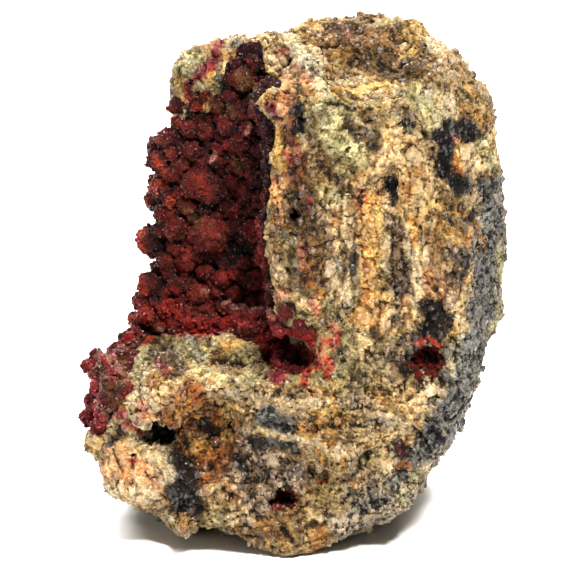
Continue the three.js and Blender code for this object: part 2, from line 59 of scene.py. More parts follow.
# The outline is what is seen by someone who looks along +Y and down by SIGHT. Points that follow are
# (across, up) on a sheet square to that line of sight, and "depth" is the distance behind that sheet.
SIGHT = math.radians(20)
OUTLINE = [
    (-9.9, 38.3), (-9.3, 39.2), (-7.1, 39.9), (-4.5, 40.4), (-3.1, 40.4), (-2.5, 41.1), (-0.3, 41.9),
    (2.1, 42.2), (4.0, 42.1), (6.1, 42.7), (7.2, 42.3), (8.4, 41.7), (10.1, 42.2), (10.9, 41.7),
    (11.6, 40.5), (13.5, 38.9), (15.7, 36.2), (16.6, 34.3), (17.1, 31.4), (17.6, 29.5), (17.5, 27.4),
    (17.7, 24.0), (17.6, 21.4), (17.4, 17.4), (16.5, 15.2), (15.6, 11.8), (14.0, 7.6), (12.5, 5.7),
    (11.1, 3.9), (10.8, 2.7), (9.4, 0.8), (8.4, 0.1), (6.7, -0.3), (4.8, -1.1), (2.5, -2.0), (0.6, -2.7),
    (-0.7, -3.1), (-2.6, -2.3), (-4.5, -1.4), (-6.6, -0.7), (-8.1, -0.3), (-8.8, -1.4), (-9.8, -1.2),
    (-11.3, 0.5), (-13.2, 1.4), (-15.4, 2.3), (-16.0, 4.0), (-16.1, 5.0), (-17.3, 6.0), (-17.1, 6.8),
    (-16.4, 7.8), (-16.3, 9.9), (-16.2, 12.3), (-16.0, 13.5), (-15.0, 14.6), (-13.5, 16.0), (-12.3, 17.4),
    (-11.7, 18.9), (-10.9, 21.0), (-11.2, 23.5), (-11.2, 25.7), (-10.9, 28.2), (-11.0, 30.8),
    (-9.9, 32.5), (-10.0, 34.6), (-10.1, 36.3),
]
RIM_DEPTH = -7  # depth at which the outline is widest
RIM_TAPER = 0.006  # how fast it draws in before and behind that, per mm squared
RIM_ROUGHNESS = 0.25  # how much of the relief shows in it
RIM_SWELL = 0.2  # how far it is pushed out

# Fracture faces: a point on each, and the way it faces.
FACES = [
    ((1.5, -11.9, 0), (0.1, -1, 0.12)),  # main front
    ((0, -11.0, 9.5), (0, -1, -0.13)),  # front, undercut low down
    ((13.9, -9, 0), (1.5, -1, 0.12)),  # weathered right flank
    ((-15, -11.4, 10), (-0.8, -0.6, 0)),  # left end of the ledge
    ((3, 0, 41.7), (0, -0.1, 1)),  # top
    ((15, 0, 40.8), (0.75, 0.1, 0.65)),  # right shoulder
    ((0, 11.9, 15), (0, 1, 0.06)),  # back
    ((-9, 9.8, 15), (-0.55, 0.83, 0)),  # back, on the left
    ((12, 10.4, 15), (0.6, 0.8, 0)),  # back, on the right
    ((0, 12, 37.5), (0, 0.75, 0.66)),  # back, bevelled at the top
    ((0, 11.0, 3), (0.1, 0.8, -0.6)),  # back, bevelled at the bottom
]
FACE_ROUND = 1.8  # the edge between two faces is rounded over this width, and so on
RIM_ROUND = 0.8

# The hollow lies above its floor, left of its wall and in front of its back. Each of these faces into it.
HOLLOW_FLOOR = ((-8, 0, 16.4), (0.03, 0, 1))
HOLLOW_LEDGE = ((-8, -4.5, 16.4), (0.03, -0.25, 1))
HOLLOW_WALL = ((0, -8.2, 25), (-1, 0.24, 0))  # across is measured from the crest here
HOLLOW_CORNER = ((0, -8.2, 25), (-0.66, -0.75, 0.1))
HOLLOW_BACK = ((-8, 2, 25), (-0.05, -1, 0.08))
HOLLOW_ROUND = 2.6
MOUTH_ROUND = 0.6
# The crest is the wall's front corner. It wanders: how far across it is at each height on the sheet.
CREST = [
    (14, -1.0), (18, -1.1), (20, -1.8), (21.8, -1.9), (24, -2.5), (25.2, -2.5), (27.6, -2.0),
    (30.6, -2.1), (32.9, -2.1), (34.4, -3.0), (36.1, -2.7), (37.4, -1.7), (38.4, -1.9), (41, -2.6),
]
# The relief is this share of itself at the crest and between these depths behind it, and all of itself
# this far away or low down on the sheet.
CREST_CALM = (0.25, (-8.2, -2.5), 5.0, (9, 12))

# Pits and lumps: ellipsoids placed on the sheet, their middles sunk by so much along the line of sight,
# with radii across, along and up.
PITS = [
    ((-7.0, 6.6), -0.8, (3.2, 3.2, 3.9)),  # rusty scoop under the ledge
    ((-10.8, 7.4), 0.0, (1.1, 1.8, 0.8)),  # dark hole left of it
    ((-3.9, 4.3), 0.0, (0.9, 1.4, 2.4)),  # cleft right of it
    ((-0.2, 14.0), 1.6, (2.3, 3.6, 2.0)),  # cavern at the foot of the wall
    ((7.6, 38.4), -1.2, (4.6, 5.0, 2.6)),  # scoop in the top
    ((13.0, 31.2), -0.2, (2.0, 1.5, 3.0)),  # dark pocket at the upper right
    ((11.6, 16.6), -0.2, (1.3, 1.2, 1.7)),  # dark pocket above the right vug
    ((0.6, 33.3), 0.0, (0.5, 1.4, 1.5)),  # pits in the hollow's front corner
    ((0.1, 25.3), 0.0, (0.45, 1.2, 0.5)),
    ((8.3, 27.8), 0.0, (0.4, 1.0, 0.9)),
    ((12.6, 32.4), 0.3, (0.9, 1.0, 0.8)),  # deeper places of the dark pocket
    ((12.5, 29.9), 0.3, (0.8, 1.0, 0.9)),
    ((14.0, 28.3), 0.1, (0.9, 1.0, 0.6)),
]
LUMPS = [
    ((10.6, 39.6), 1.6, (2.3, 3.6, 2.3)),  # hump on the top's right
    ((-0.7, 30.3), 0.3, (0.9, 1.0, 1.0)),  # knobs down the hollow's front corner
    ((-1.2, 26.9), 0.3, (0.8, 1.0, 1.0)),
    ((-1.7, 34.9), 0.3, (1.0, 1.0, 1.2)),
    ((-0.9, 38.4), 0.4, (1.2, 1.2, 1.4)),
    ((0.3, 21.3), 0.4, (1.4, 1.2, 1.6)),
    ((-3.9, 13.4), -0.6, (2.7, 2.6, 3.1)),  # left of the cavern, at the floor's edge
    ((1.6, 37.2), 0.4, (2.0, 1.2, 1.2)),
    ((3.2, 24.0), 0.6, (1.6, 1.2, 2.8)),  # swellings of the main front
    ((6.6, 24.6), 0.6, (1.3, 1.2, 4.2)),
    ((5.7, 17.0), 0.5, (1.6, 1.2, 2.0)),
    ((13.2, 23.0), 0.5, (1.4, 1.2, 3.4)),
    ((-8.8, 11.2), 0.6, (3.6, 1.5, 1.3)),  # rim over the rusty scoop
    ((-1.4, 9.4), 0.4, (3.4, 1.3, 0.9)),  # bands that run down to the right
    ((4.4, 6.4), 0.4, (3.8, 1.3, 0.9)),
    ((-13.6, 4.0), 0.8, (2.2, 1.8, 2.0)),  # pink corner, low on the left
    ((-9.3, -0.1), 0.8, (1.1, 2.0, 1.3)),  # spur under it
]
BITE_ROUND = 0.6

# Vugs in the front: the centre and radii of each pit in space.
VUGS = {
    "right_vug_roselite": ((11.4, -8.3, 17.5), (1.4, 2.0, 1.4)),
    "low_vug_roselite": ((-0.9, -9.7, 5.3), (1.35, 1.8, 1.2)),
}
VUG_ROUND = 0.3

# The crust of the hollow: where it grows, as an area of the sheet, and how far back.
CRUST_AREA = [
    (-30, 33.9), (-10.3, 33.9), (-9.1, 34.8), (-7.2, 34.4), (-6.2, 36.1), (-5.7, 38.7), (-4.5, 40.1),
    (-2.6, 40.4), (-2.2, 37.6), (2.5, 34.5), (2.5, 18.0), (1.9, 16.8), (2.2, 15.2), (1.7, 13.2),
    (0.4, 12.0), (-0.9, 12.1), (-2.0, 12.9), (-2.9, 14.7), (-4.5, 15.0), (-6.6, 15.6), (-9.6, 15.6),
    (-12.2, 15.2), (-13.0, 14.0), (-13.7, 12.3), (-13.3, 11.0), (-14.0, 10.1), (-15.4, 8.9), (-15.9, 7.2),
    (-30, 7.2),
]
CRUST_LIMIT = ((-11, 4.6, 20), (-0.6, 0.8, 0))  # it thins out towards this face
CRUST_THINS = (3, 0.2)  # the distance over which it does, and how much per mm
CRUST_BEHIND = 4.5  # it ends here at the back
CAVERN_OPEN = ((-0.2, 14.0), 0.8, (1.7, 5.0, 1.4))  # it leaves this open
CRUST_GAP_SHADE_HEIGHTS = (1.55, 0.6)  # painted shade in its gaps: it starts below this height above the rock, and is whole below the other
OPEN_FLOOR = 0.65  # how much less they do on the floor, which lies open to the light
FLOOR_HEIGHTS = (18.8, 17.2)  # it starts below this height on the sheet, fully below the other
CRUST_SKIN = 0.5  # how high it stands on the rock between its balls
CRUST_ROOT = 0.6  # how deep it is rooted in the rock
CRUST_TAPER = 1.6  # its skin and its balls get smaller within this distance of its edge
CREST_CLEAR = 1.2  # it keeps this far behind the crest
# It reaches no further than this outside the hollow: near the mouth, growth per mm, and the depth behind
# which it grows.
CRUST_REACH = (1.0, 0.3, -5)
# It is free of both limits left of these places and below this height, more and more with each mm.
CRUST_FREE = {"of_crest": -3.5, "of_hollow": -9, "below": 17.5, "gain": 2}
CRUST_EDGE_ROUND = 0.3
CRUST_WANDER = 0.15  # how much its skin's height wanders
LEAN_SHRINKS = 0.8  # how much of its height is missing where it is thin
LEAN_WANDER = (0.5, -0.05)  # how much more it wanders there, and what is added to that
CREST_LEAN = 0.7  # how thin it is on the wall next to the crest
# That starts at the first of each pair and is whole at the second: behind the crest, across, and up.
CREST_LEAN_FADES = {"behind": (5, 1), "across": (-5.5, -3.5), "up": (16.5, 18.5)}
LEAN_EDGE = (1.2, 0.6)  # how soft the edges of its other thin places are
# Those places, thin and patchy, as strokes on the sheet: strength, radius, and the line.
CRUST_LEAN = [
    (1.0, 3.2, [(-16.6, 13.2), (-17.0, 8.0)]),
    (0.9, 1.6, [(-13.4, 13.2), (-13.2, 10.2)]),
    (0.4, 1.0, [(-9.4, 35.2), (-7.2, 35.4), (-6.4, 37.6)]),
    (0.6, 1.2, [(-4.6, 39.6), (-3.2, 39.8)]),
]

# Its larger balls, as (across, up, radius): each stands on the rock where the line of sight meets it.
BALLS = [
    (-11.2, 31.4, 1.1), (-9.8, 33.4, 0.6), (-9.9, 34.9, 0.64), (-8.2, 35, 0.6), (-6, 32.6, 0.68),
    (-7.4, 32.7, 0.77), (-8.8, 32.9, 0.77), (-10.5, 29.2, 0.68), (-11.7, 28.6, 0.6), (-9.7, 29.8, 0.68),
    (-8.7, 31.1, 0.77), (-8.2, 28.3, 1.28), (-7, 27.7, 1.19), (-11.8, 26.9, 0.85), (-10.5, 26.9, 0.6),
    (-4.2, 37.1, 1.02), (-3.4, 35.3, 0.77), (-3.8, 32.9, 0.68), (-5.2, 31.8, 0.68), (-6.4, 30.3, 0.77),
    (-4.5, 29.9, 0.77), (-12, 23.5, 1.28), (-9.9, 24.5, 1.02), (-7.1, 24.1, 1.62), (-5.3, 26.2, 0.85),
    (-3.3, 26.3, 0.68), (-3.4, 23.2, 0.68), (-2.6, 22, 0.77), (-4.4, 23.1, 0.77), (-8.2, 22.6, 0.94),
    (-6, 20.3, 0.77), (-4.8, 20.8, 0.77), (-12.2, 19.7, 1.02), (-9.9, 19.6, 0.77), (-8, 19, 0.85),
    (-3.3, 18.5, 0.68), (-2.1, 18.6, 0.77), (-5.5, 17.8, 0.68), (-4.5, 16.7, 1.02), (-2.7, 16.6, 1.1),
    (-1.2, 16.1, 0.77), (-10.8, 17.8, 0.77), (-9.5, 17.2, 0.77), (-12.5, 17.1, 0.77), (-7.7, 16.5, 0.68),
    (-13.3, 16.7, 0.77), (-13.5, 15.6, 0.6), (-6.8, 16.7, 0.6), (0.5, 16.2, 0.6), (-0.6, 17.4, 0.6),
    (-2.1, 15.3, 0.68), (-6.1, 35, 0.77), (-5.1, 34.4, 0.68), (-9.1, 21.7, 0.85), (-10.9, 21.7, 0.77),
    (-14.7, 12.3, 0.68), (-15.4, 11.3, 0.68), (-14.2, 11, 0.68), (-17.1, 9.8, 0.68), (-17.3, 8.4, 0.77),
    (-16.4, 7.7, 0.68), (-16.1, 9.3, 0.68), (-17.4, 12.8, 0.6), (-16.7, 13.7, 0.6), (-14.9, 14.2, 0.68),
    (-15.7, 13.2, 0.6),
]
BALL_STANDS = (0.6, 0.35)  # how far a ball's centre stands out: a share of its radius, and more
FILLER_RADII = (0.88, 0.68, 0.52, 0.4)  # the rest of the crust is filled with ever smaller balls
FILLER_SPREAD = (0.88, 0.24)  # each is at least this share of its radius, and at most so much more
FILLER_CROWDING = 0.86  # how near they come to each other, as a share of both radii
FILLER_CELL = 0.35  # grid on which room is looked for
FILLER_EDGE = 0.25  # how far inside the crust's room their places are
FILLER_MOST = (0.3, 0.75)  # the largest at the crust's edge, and how much larger they get inside it
FILLER_LEAN = 0.75  # how much of that is missing where the crust is thin
FILLER_OVER = 1.25  # how far they may exceed it
FILLER_STANDS = 0.25  # how far their middles stand out, as a share of their radius
FILLER_BARE = (1.7, 0.65, 0.5)  # none grow in patches of this size where the crust is thin
LINING_BALLS = 130  # spread over a whole vug, before those at its mouth are left out
LINING_MOUTH = -0.1  # those that lie further to the front than this, as a share, are at its mouth
LINING_RADII = (0.16, 0.32)
LINING_CELL = 0.08
LINING_REACH = (1.02, 0.95, 1.02)  # how far out their middles are, as a share of the vug's radii
LINING_WANDER = 0.5  # and how far they are off that, in mm
# Balls of at least this radius carry knobs, and all are covered by bumps: radii, how far they stand out,
# and how much of a ball's surface each has.
KNOBBED = 0.62
KNOBS = ((0.3, 0.5), 0.16, 0.7)
BUMPS = ((0.18, 0.3), 0.14, 0.1)
BUMP_WANDER = 0.3  # how irregularly they are spread
BALL_BLEND, KNOB_BLEND, BUMP_BLEND, LINING_BLEND = 0.08, 0.06, 0.04, 0.1  # how softly they join the rest
CRUST_GRIT = (0.24, 0.035)  # size and height of the finest bumps

# Rough relief: a sum of plane waves from the longest to the shortest, with this root mean square height.
WAVES = 20
WAVE_LENGTHS = (15, 3.6)
WAVE_HEIGHT = 0.53
WAVE_STEEPNESS = 0.7  # a wave's height grows with this power of its length
WAVE_SHIFT = 1.7  # radians by which each is shifted against the one before

ROCK_LOW, ROCK_HIGH = (-21, -15, -3), (21, 15, 46)
CRUST_LOW, CRUST_HIGH = (-21, -14, 6), (5, 7, 44)
SEAT_DEPTHS = (-26, 6, 0.1)  # depths along a line of sight at which the rock is looked for: from, to, step

GOLDEN_ANGLE = math.pi * (3 - math.sqrt(5))
GOLDEN_SHARE = 0.618034

# ---- Random numbers and noise ------------------------------------------------------------------------

# Each seed gives another pattern. The large numbers only scatter the bits of a cell's place.
HASH_AXES = (374761393, 668265263, 2246822519)
HASH_SEED = (2654435, 97)
HASH_MIX = (3266489917, 1274126177)
OCTAVE_FALL = 1.7  # how much lower each finer noise is
OCTAVE_GAIN = 1.6  # brings their sum back to about -1 to 1


def hashed(cells, seed):
    """A number from 0 to 1 for each row of whole numbers, always the same one."""
    h = np.uint32(seed * HASH_SEED[0] + HASH_SEED[1]) + np.zeros(len(cells), np.uint32)
    for axis, prime in enumerate(HASH_AXES):
        h ^= cells[:, axis].astype(np.int64).astype(np.uint32) * np.uint32(prime)
        h *= np.uint32(HASH_MIX[0])
        h ^= h >> np.uint32(15)
    h *= np.uint32(HASH_MIX[1])
    h ^= h >> np.uint32(13)
    return (h >> np.uint32(8)).astype(np.float32) / np.float32(1 << 24)


def noise(points, size, seed):
    """Smooth noise from -1 to 1, with features about as large as size, a number or one for each axis."""
    p = points / np.asarray(size, np.float32)
    low = np.floor(p)
    t = p - low
    t = t * t * (3 - 2 * t)
    cell = low.astype(np.int32)
    total = np.zeros(len(p), np.float32)
    for corner in np.ndindex(2, 2, 2):
        weight = np.prod(np.where(corner, t, 1 - t), axis=1)
        total += weight * hashed(cell + np.array(corner), seed)
    return total * 2 - 1


def rough_noise(points, size, seed, octaves=3):
    """Noise with finer noise on it, from about -1 to 1."""
    total = sum(noise(points, np.asarray(size) / 2**i, seed + i) / OCTAVE_FALL**i for i in range(octaves))
    return total / sum(1 / OCTAVE_FALL**i for i in range(octaves)) * OCTAVE_GAIN


def grains(points, size, seed):
    """The irregular grain, about as large as size, that each point is in: a random number for the grain,
    how high its tilted face is there (-1 to 1), and how far its neighbours are, as a share."""
    p = (points / np.asarray(size, np.float32)).astype(np.float32)
    home = np.floor(p).astype(np.int32)
    first = np.full(len(p), 9, np.float32)
    second = np.full(len(p), 9, np.float32)
    chance = np.zeros(len(p), np.float32)
    height = np.zeros(len(p), np.float32)
    for corner in np.ndindex(3, 3, 3):
        cell = home + np.array(corner) - 1
        centre = np.stack([hashed(cell, seed + k) for k in range(3)], axis=1)
        off = p - cell - centre
        far = np.einsum("ij,ij->i", off, off)
        near = far < first
        second = np.where(near, first, np.minimum(second, far))
        first = np.where(near, far, first)
        tilt = np.stack([hashed(cell, seed + k) for k in range(3, 6)], axis=1) * 2 - 1
        chance = np.where(near, hashed(cell, seed + 6), chance)
        height = np.where(near, np.einsum("ij,ij->i", off, tilt), height)
    return chance, height, np.sqrt(second) - np.sqrt(first)


def smoothstep(low, high, value):
    t = np.clip((value - low) / (high - low), 0, 1)
    return t * t * (3 - 2 * t)


def between(ends, share):
    return ends[0] + (ends[1] - ends[0]) * share


def spread_ways(count, turn=0.0):
    """So many directions spread evenly all around, turned about the last axis."""
    i = np.arange(count)
    rise = 1 - (2 * i + 1) / count
    flat = np.sqrt(1 - rise**2)
    turns = i * GOLDEN_ANGLE + turn
    return np.stack([flat * np.cos(turns), flat * np.sin(turns), rise], axis=1)


# ---- Fields ------------------------------------------------------------------------------------------


def smooth_max(a, b, blend):
    overlap = np.maximum(blend - np.abs(a - b), 0)
    return np.maximum(a, b) + overlap * overlap / (4 * blend)


def smooth_min(a, b, blend):
    return -smooth_max(-a, -b, blend)


def up_of(p):
    return p[:, 2] * math.cos(SIGHT) + p[:, 1] * math.sin(SIGHT)


def depth_of(p):
    return p[:, 1] * math.cos(SIGHT) - p[:, 2] * math.sin(SIGHT)


def point_at(across, up, depth):
    y = depth * math.cos(SIGHT) + up * math.sin(SIGHT)
    z = up * math.cos(SIGHT) - depth * math.sin(SIGHT)
    return np.stack(np.broadcast_arrays(across, y, z), axis=-1).astype(np.float32)


TO_VIEWER = np.array([0, -math.cos(SIGHT), math.sin(SIGHT)], np.float32)


def beyond(face, p):
    """Distance in front of a face."""
    at, facing = (np.array(v, np.float32) for v in face)
    return (p - at) @ (facing / np.linalg.norm(facing))


def ellipsoid(at, radii, p):
    return (np.linalg.norm((p - at) / np.array(radii, np.float32), axis=1) - 1) * min(radii)


def outline_distance(outline, across, up):
    """Distance from a closed outline on the sheet, negative inside it."""
    nearest = np.full(across.shape, np.inf, np.float32)
    inside = np.zeros(across.shape, bool)
    for (ax, ay), (bx, by) in zip(outline, outline[1:] + outline[:1]):
        ex, ey = bx - ax, by - ay
        along = np.clip(((across - ax) * ex + (up - ay) * ey) / (ex * ex + ey * ey), 0, 1)
        nearest = np.minimum(nearest, np.hypot(across - ax - ex * along, up - ay - ey * along))
        if ay != by:
            inside ^= ((ay > up) != (by > up)) & (across < ax + ex * (up - ay) / (by - ay))
    return np.where(inside, -nearest, nearest)


def from_line(line, across, up):
    """Distance on the sheet from a line of points."""
    nearest = np.full(len(across), np.inf, np.float32)
    for (ax, ay), (bx, by) in zip(line, line[1:]):
        ex, ey = bx - ax, by - ay
        along = np.clip(((across - ax) * ex + (up - ay) * ey) / max(ex * ex + ey * ey, 1e-6), 0, 1)
        nearest = np.minimum(nearest, np.hypot(across - ax - ex * along, up - ay - ey * along))
    return nearest


def near_line(line, radius, edge, across, up):
    """From 0 to 1 near a line on the sheet; edge is where that starts and is whole, by the radius."""
    return smoothstep(radius * edge[0], radius * edge[1], from_line(line, across, up))


class Sheet:
    """An outline's distance, kept on a grid of the sheet so that it's quick to read."""

    STEP = 0.12
    LOW = np.array([-22.0, -6.0])
    HIGH = np.array([22.0, 48.0])

    def __init__(self, outline):
        count = np.ceil((self.HIGH - self.LOW) / self.STEP).astype(int) + 1
        across = self.LOW[0] + np.arange(count[0]) * self.STEP
        up = self.LOW[1] + np.arange(count[1]) * self.STEP
        self.values = outline_distance(outline, *np.meshgrid(across, up, indexing="ij")).astype(np.float32)

    def __call__(self, p):
        place = (np.stack([p[:, 0], up_of(p)], axis=1) - self.LOW) / self.STEP
        place = np.clip(place, 0, np.array(self.values.shape) - 1.001)
        i, j = np.floor(place).astype(int).T
        u, v = (place - np.floor(place)).T
        low = self.values[i, j] * (1 - u) + self.values[i + 1, j] * u
        high = self.values[i, j + 1] * (1 - u) + self.values[i + 1, j + 1] * u
        return (low * (1 - v) + high * v).astype(np.float32)


def wave_list():
    """Each wave's direction times its number of radians per mm, its shift and its height."""
    found = []
    for i in range(WAVES):
        length = WAVE_LENGTHS[0] * (WAVE_LENGTHS[1] / WAVE_LENGTHS[0]) ** (i / (WAVES - 1))
        rise = (2 * ((i * 7) % WAVES) + 1) / WAVES - 1
        flat = math.sqrt(1 - rise * rise)
        turn = i * GOLDEN_ANGLE
        way = np.array([flat * math.cos(turn), flat * math.sin(turn), rise], np.float32)
        found.append((way * 2 * math.pi / length, i * WAVE_SHIFT, length**WAVE_STEEPNESS))
    scale = WAVE_HEIGHT / math.sqrt(sum(height * height / 2 for _, _, height in found))
    return [(way, shift, height * scale) for way, shift, height in found]


RELIEF_WAVES = wave_list()
ROCK_OUTLINE = Sheet(OUTLINE)


def relief(p):
    return sum(height * np.sin(p @ way + np.float32(shift)) for way, shift, height in RELIEF_WAVES)


def from_crest(p):
    """Points whose x is measured from the crest at their height."""
    heights, across = zip(*CREST)
    q = p.copy()
    q[:, 0] -= np.interp(up_of(p), heights, across)
    return q


def hollow(p):
    above = smooth_min(-beyond(HOLLOW_FLOOR, p), -beyond(HOLLOW_LEDGE, p), MOUTH_ROUND)
    q = from_crest(p)
    beside = smooth_min(-beyond(HOLLOW_WALL, q), -beyond(HOLLOW_CORNER, q), MOUTH_ROUND)
    return smooth_max(smooth_max(above, beside, HOLLOW_ROUND), -beyond(HOLLOW_BACK, p), HOLLOW_ROUND)


def chunk(p):
    f = beyond(FACES[0], p)
    for face in FACES[1:]:
        f = smooth_max(f, beyond(face, p), FACE_ROUND)
    return smooth_max(f, -hollow(p), MOUTH_ROUND)


def outlined(f, p):
    rim = ROCK_OUTLINE(p) + RIM_TAPER * (depth_of(p) - RIM_DEPTH) ** 2 - RIM_SWELL
    q = from_crest(p)
    share, depths, within, (low, high) = CREST_CALM
    off_crest = np.hypot(q[:, 0], p[:, 1] - np.clip(p[:, 1], *depths))
    loud = np.maximum(smoothstep(0, within, off_crest), smoothstep(high, low, up_of(p)))
    rough = relief(p) * (share + (1 - share) * loud)
    return smooth_max(f + rough, rim + rough * RIM_ROUGHNESS, RIM_ROUND)


def seats(places, sunk):
    """Where the lines of sight through places on the sheet first meet the bare rock, or else come nearest
    to it, moved on by sunk."""
    places = np.array(places, np.float32)
    depths = np.arange(*SEAT_DEPTHS, dtype=np.float32)
    across = np.repeat(places[:, :1], len(depths), axis=1)
    up = np.repeat(places[:, 1:2], len(depths), axis=1)
    p = point_at(across, up, np.broadcast_to(depths, across.shape)).reshape(-1, 3)
    f = outlined(chunk(p), p).reshape(across.shape)
    first = np.where((f <= 0).any(axis=1), np.argmax(f <= 0, axis=1), np.argmin(f, axis=1))
    return point_at(places[:, 0], places[:, 1], depths[first] + np.array(sunk, np.float32))


def seated(specs):
    at = seats([place for place, _, _ in specs], [sunk for _, sunk, _ in specs])
    return [(centre, radii) for centre, (_, _, radii) in zip(at, specs)]


ROCK_LUMPS = seated(LUMPS)
ROCK_PITS = seated(PITS)


def rock(p):
    f = chunk(p)
    for at, radii in ROCK_LUMPS:
        f = smooth_min(f, ellipsoid(at, radii, p), BITE_ROUND)
    for at, radii in ROCK_PITS:
        f = smooth_max(f, -ellipsoid(at, radii, p), BITE_ROUND)
    return outlined(f, p)


CRUST_SHEET = Sheet(CRUST_AREA)
CAVERN = seated([CAVERN_OPEN])


def crust_room(p):
    """How far inside the room of the crust a point is, as a negative number."""
    room = np.maximum(np.maximum(CRUST_SHEET(p), beyond(CRUST_LIMIT, p)), p[:, 1] - CRUST_BEHIND)
    room = np.maximum(room, -ellipsoid(*CAVERN[0], p))
    front = HOLLOW_WALL[0][1] + CREST_CLEAR - p[:, 1]
    gain = CRUST_FREE["gain"]
    low = gain * np.maximum(CRUST_FREE["below"] - up_of(p), 0)
    room = np.maximum(room, front - gain * np.maximum(CRUST_FREE["of_crest"] - p[:, 0], 0) - low)
    reach, grows, behind = CRUST_REACH
    reach = reach + grows * np.maximum(p[:, 1] - behind, 0)
    left = gain * np.maximum(CRUST_FREE["of_hollow"] - p[:, 0], 0)
    return np.maximum(room, hollow(p) - reach - left - low)


def leanness(p):
    """From 0 to 1 where the crust is thin and patchy."""
    across, up = p[:, 0], up_of(p)
    lean = np.zeros(len(p), np.float32)
    for strength, radius, line in CRUST_LEAN:
        lean = np.maximum(lean, strength * near_line(line, radius, LEAN_EDGE, across, up))
    behind = p[:, 1] - HOLLOW_WALL[0][1]
    wall = CREST_LEAN * smoothstep(*CREST_LEAN_FADES["behind"], behind)
    wall = wall * smoothstep(*CREST_LEAN_FADES["across"], across) * smoothstep(*CREST_LEAN_FADES["up"], up)
    return np.maximum(lean, wall)


def crust_skin(p):
    """The crust without its balls."""
    height = rock(p)
    room = crust_room(p)
    lean = leanness(p)
    fades = np.maximum(0, beyond(CRUST_LIMIT, p) + CRUST_THINS[0]) * CRUST_THINS[1]
    stands = CRUST_SKIN * smoothstep(0, CRUST_TAPER, -room) * (1 - LEAN_SHRINKS * lean) - fades
    wander = rough_noise(p, 1.4, 41, 2) * CRUST_WANDER
    wander += lean * (noise(p, 1.3, 47) * LEAN_WANDER[0] + LEAN_WANDER[1])
    skin = height - stands - wander
    return np.maximum(smooth_max(skin, room, CRUST_EDGE_ROUND), -CRUST_ROOT - height)


def rock_with_vugs(p):
    f = rock(p)
    for at, radii in VUGS.values():
        f = smooth_max(f, -ellipsoid(np.array(at, np.float32), radii, p), VUG_ROUND)
    return np.maximum(f, -p[:, 2])


# ---- Meshes ------------------------------------------------------------------------------------------

BLOCK = 5  # the grid is sampled in cubes of so many points a side
NEAR = 0.87 * 1.3  # half a cube's diagonal by its side, and more because a field may be steep
SLACK = 0.6  # the roughness that a cube's middle may miss, in mm
CHUNK = 400000  # points worked out at once
# Painted shade in crevices and pits: rings of neighbours over which a surface is smoothed, and how deep
# under that a vertex lies where the shade is whole, in mm.
CREVICE_SHADE, PIT_SHADE = (3, 0.1), (16, 0.3)


def in_parts(field, p):
    return np.concatenate([field(p[i : i + CHUNK]) for i in range(0, len(p), CHUNK)])


def grid_of(field, low, high, cell, slack=SLACK):
    """A field's values on a grid: exact near its skin, and only of the right sign elsewhere."""
    low = np.array(low, np.float32)
    count = np.ceil((np.array(high) - low) / (cell * BLOCK)).astype(int) + 1
    cubes = np.stack(np.meshgrid(*map(np.arange, count), indexing="ij"), axis=-1).reshape(-1, 3)
    middle = (low + (cubes * BLOCK + (BLOCK - 1) / 2) * cell).astype(np.float32)
    rough = in_parts(field, middle)
    values = np.where(rough < 0, -1.0, 1.0).astype(np.float32).reshape(count)
    for axis in range(3):
        values = np.repeat(values, BLOCK, axis=axis)
    near = cubes[np.abs(rough) < BLOCK * cell * NEAR + slack]
    inner = np.stack(np.meshgrid(*[np.arange(BLOCK)] * 3, indexing="ij"), axis=-1).reshape(-1, 3)
    places = (near[:, None, :] * BLOCK + inner[None]).reshape(-1, 3)
    points = (low + places * cell).astype(np.float32)
    values[tuple(places.T)] = in_parts(field, points)
    return values


def skin_of(values, low, cell):
    """The vertices and four-sided faces of the skin where a grid of values crosses zero."""
    volume = openvdb.FloatGrid(1.0)
    volume.copyFromArray(values)
    vertices, quads = volume.convertToQuads(isovalue=0.0)
    return (np.array(low, np.float32) + vertices * cell).astype(np.float32), quads


def normals_of(vertices, quads):
    a, b, c, d = (vertices[quads[:, k]] for k in range(4))
    facing = np.cross(c - a, d - b)
    total = np.zeros_like(vertices)
    for k in range(4):
        for axis in range(3):
            total[:, axis] += np.bincount(quads[:, k], facing[:, axis], len(vertices))
    return total / np.maximum(np.linalg.norm(total, axis=1, keepdims=True), 1e-9)


def mesh_from(name, vertices, faces):
    """A Blender object of equal-sided faces, from vertices in mm."""
    mesh = bpy.data.meshes.new(name)
    sides = faces.shape[1]
    mesh.vertices.add(len(vertices))
    mesh.vertices.foreach_set("co", (vertices * MM).astype(np.float32).ravel())
    mesh.loops.add(faces.size)
    mesh.loops.foreach_set("vertex_index", faces.astype(np.int32).ravel())
    mesh.polygons.add(len(faces))
    mesh.polygons.foreach_set("loop_start", np.arange(0, faces.size, sides, dtype=np.int32))
    mesh.update(calc_edges=True)
    mesh.validate()
    piece = bpy.data.objects.new(name, mesh)
    bpy.context.scene.collection.objects.link(piece)
    return piece


def thinned(piece, most):
    """Brings a piece down to so many triangles, where they are needed least."""
    count = sum(len(p.vertices) - 2 for p in piece.data.polygons)
    if count <= most:
        return
    fewer = piece.modifiers.new("fewer", "DECIMATE")
    fewer.ratio = most / count
    bpy.context.view_layer.update()
    mesh = bpy.data.meshes.new_from_object(piece.evaluated_get(bpy.context.evaluated_depsgraph_get()))
    piece.modifiers.clear()
    old, piece.data = piece.data, mesh
    bpy.data.meshes.remove(old)
    mesh.name = piece.name


def points_of(piece):
    """A piece's vertices in mm, and its normals."""
    mesh = piece.data
    co = np.empty(len(mesh.vertices) * 3, np.float32)
    mesh.vertices.foreach_get("co", co)
    facing = np.empty(len(mesh.vertices) * 3, np.float32)
    mesh.vertex_normals.foreach_get("vector", facing)
    return co.reshape(-1, 3) / MM, facing.reshape(-1, 3)


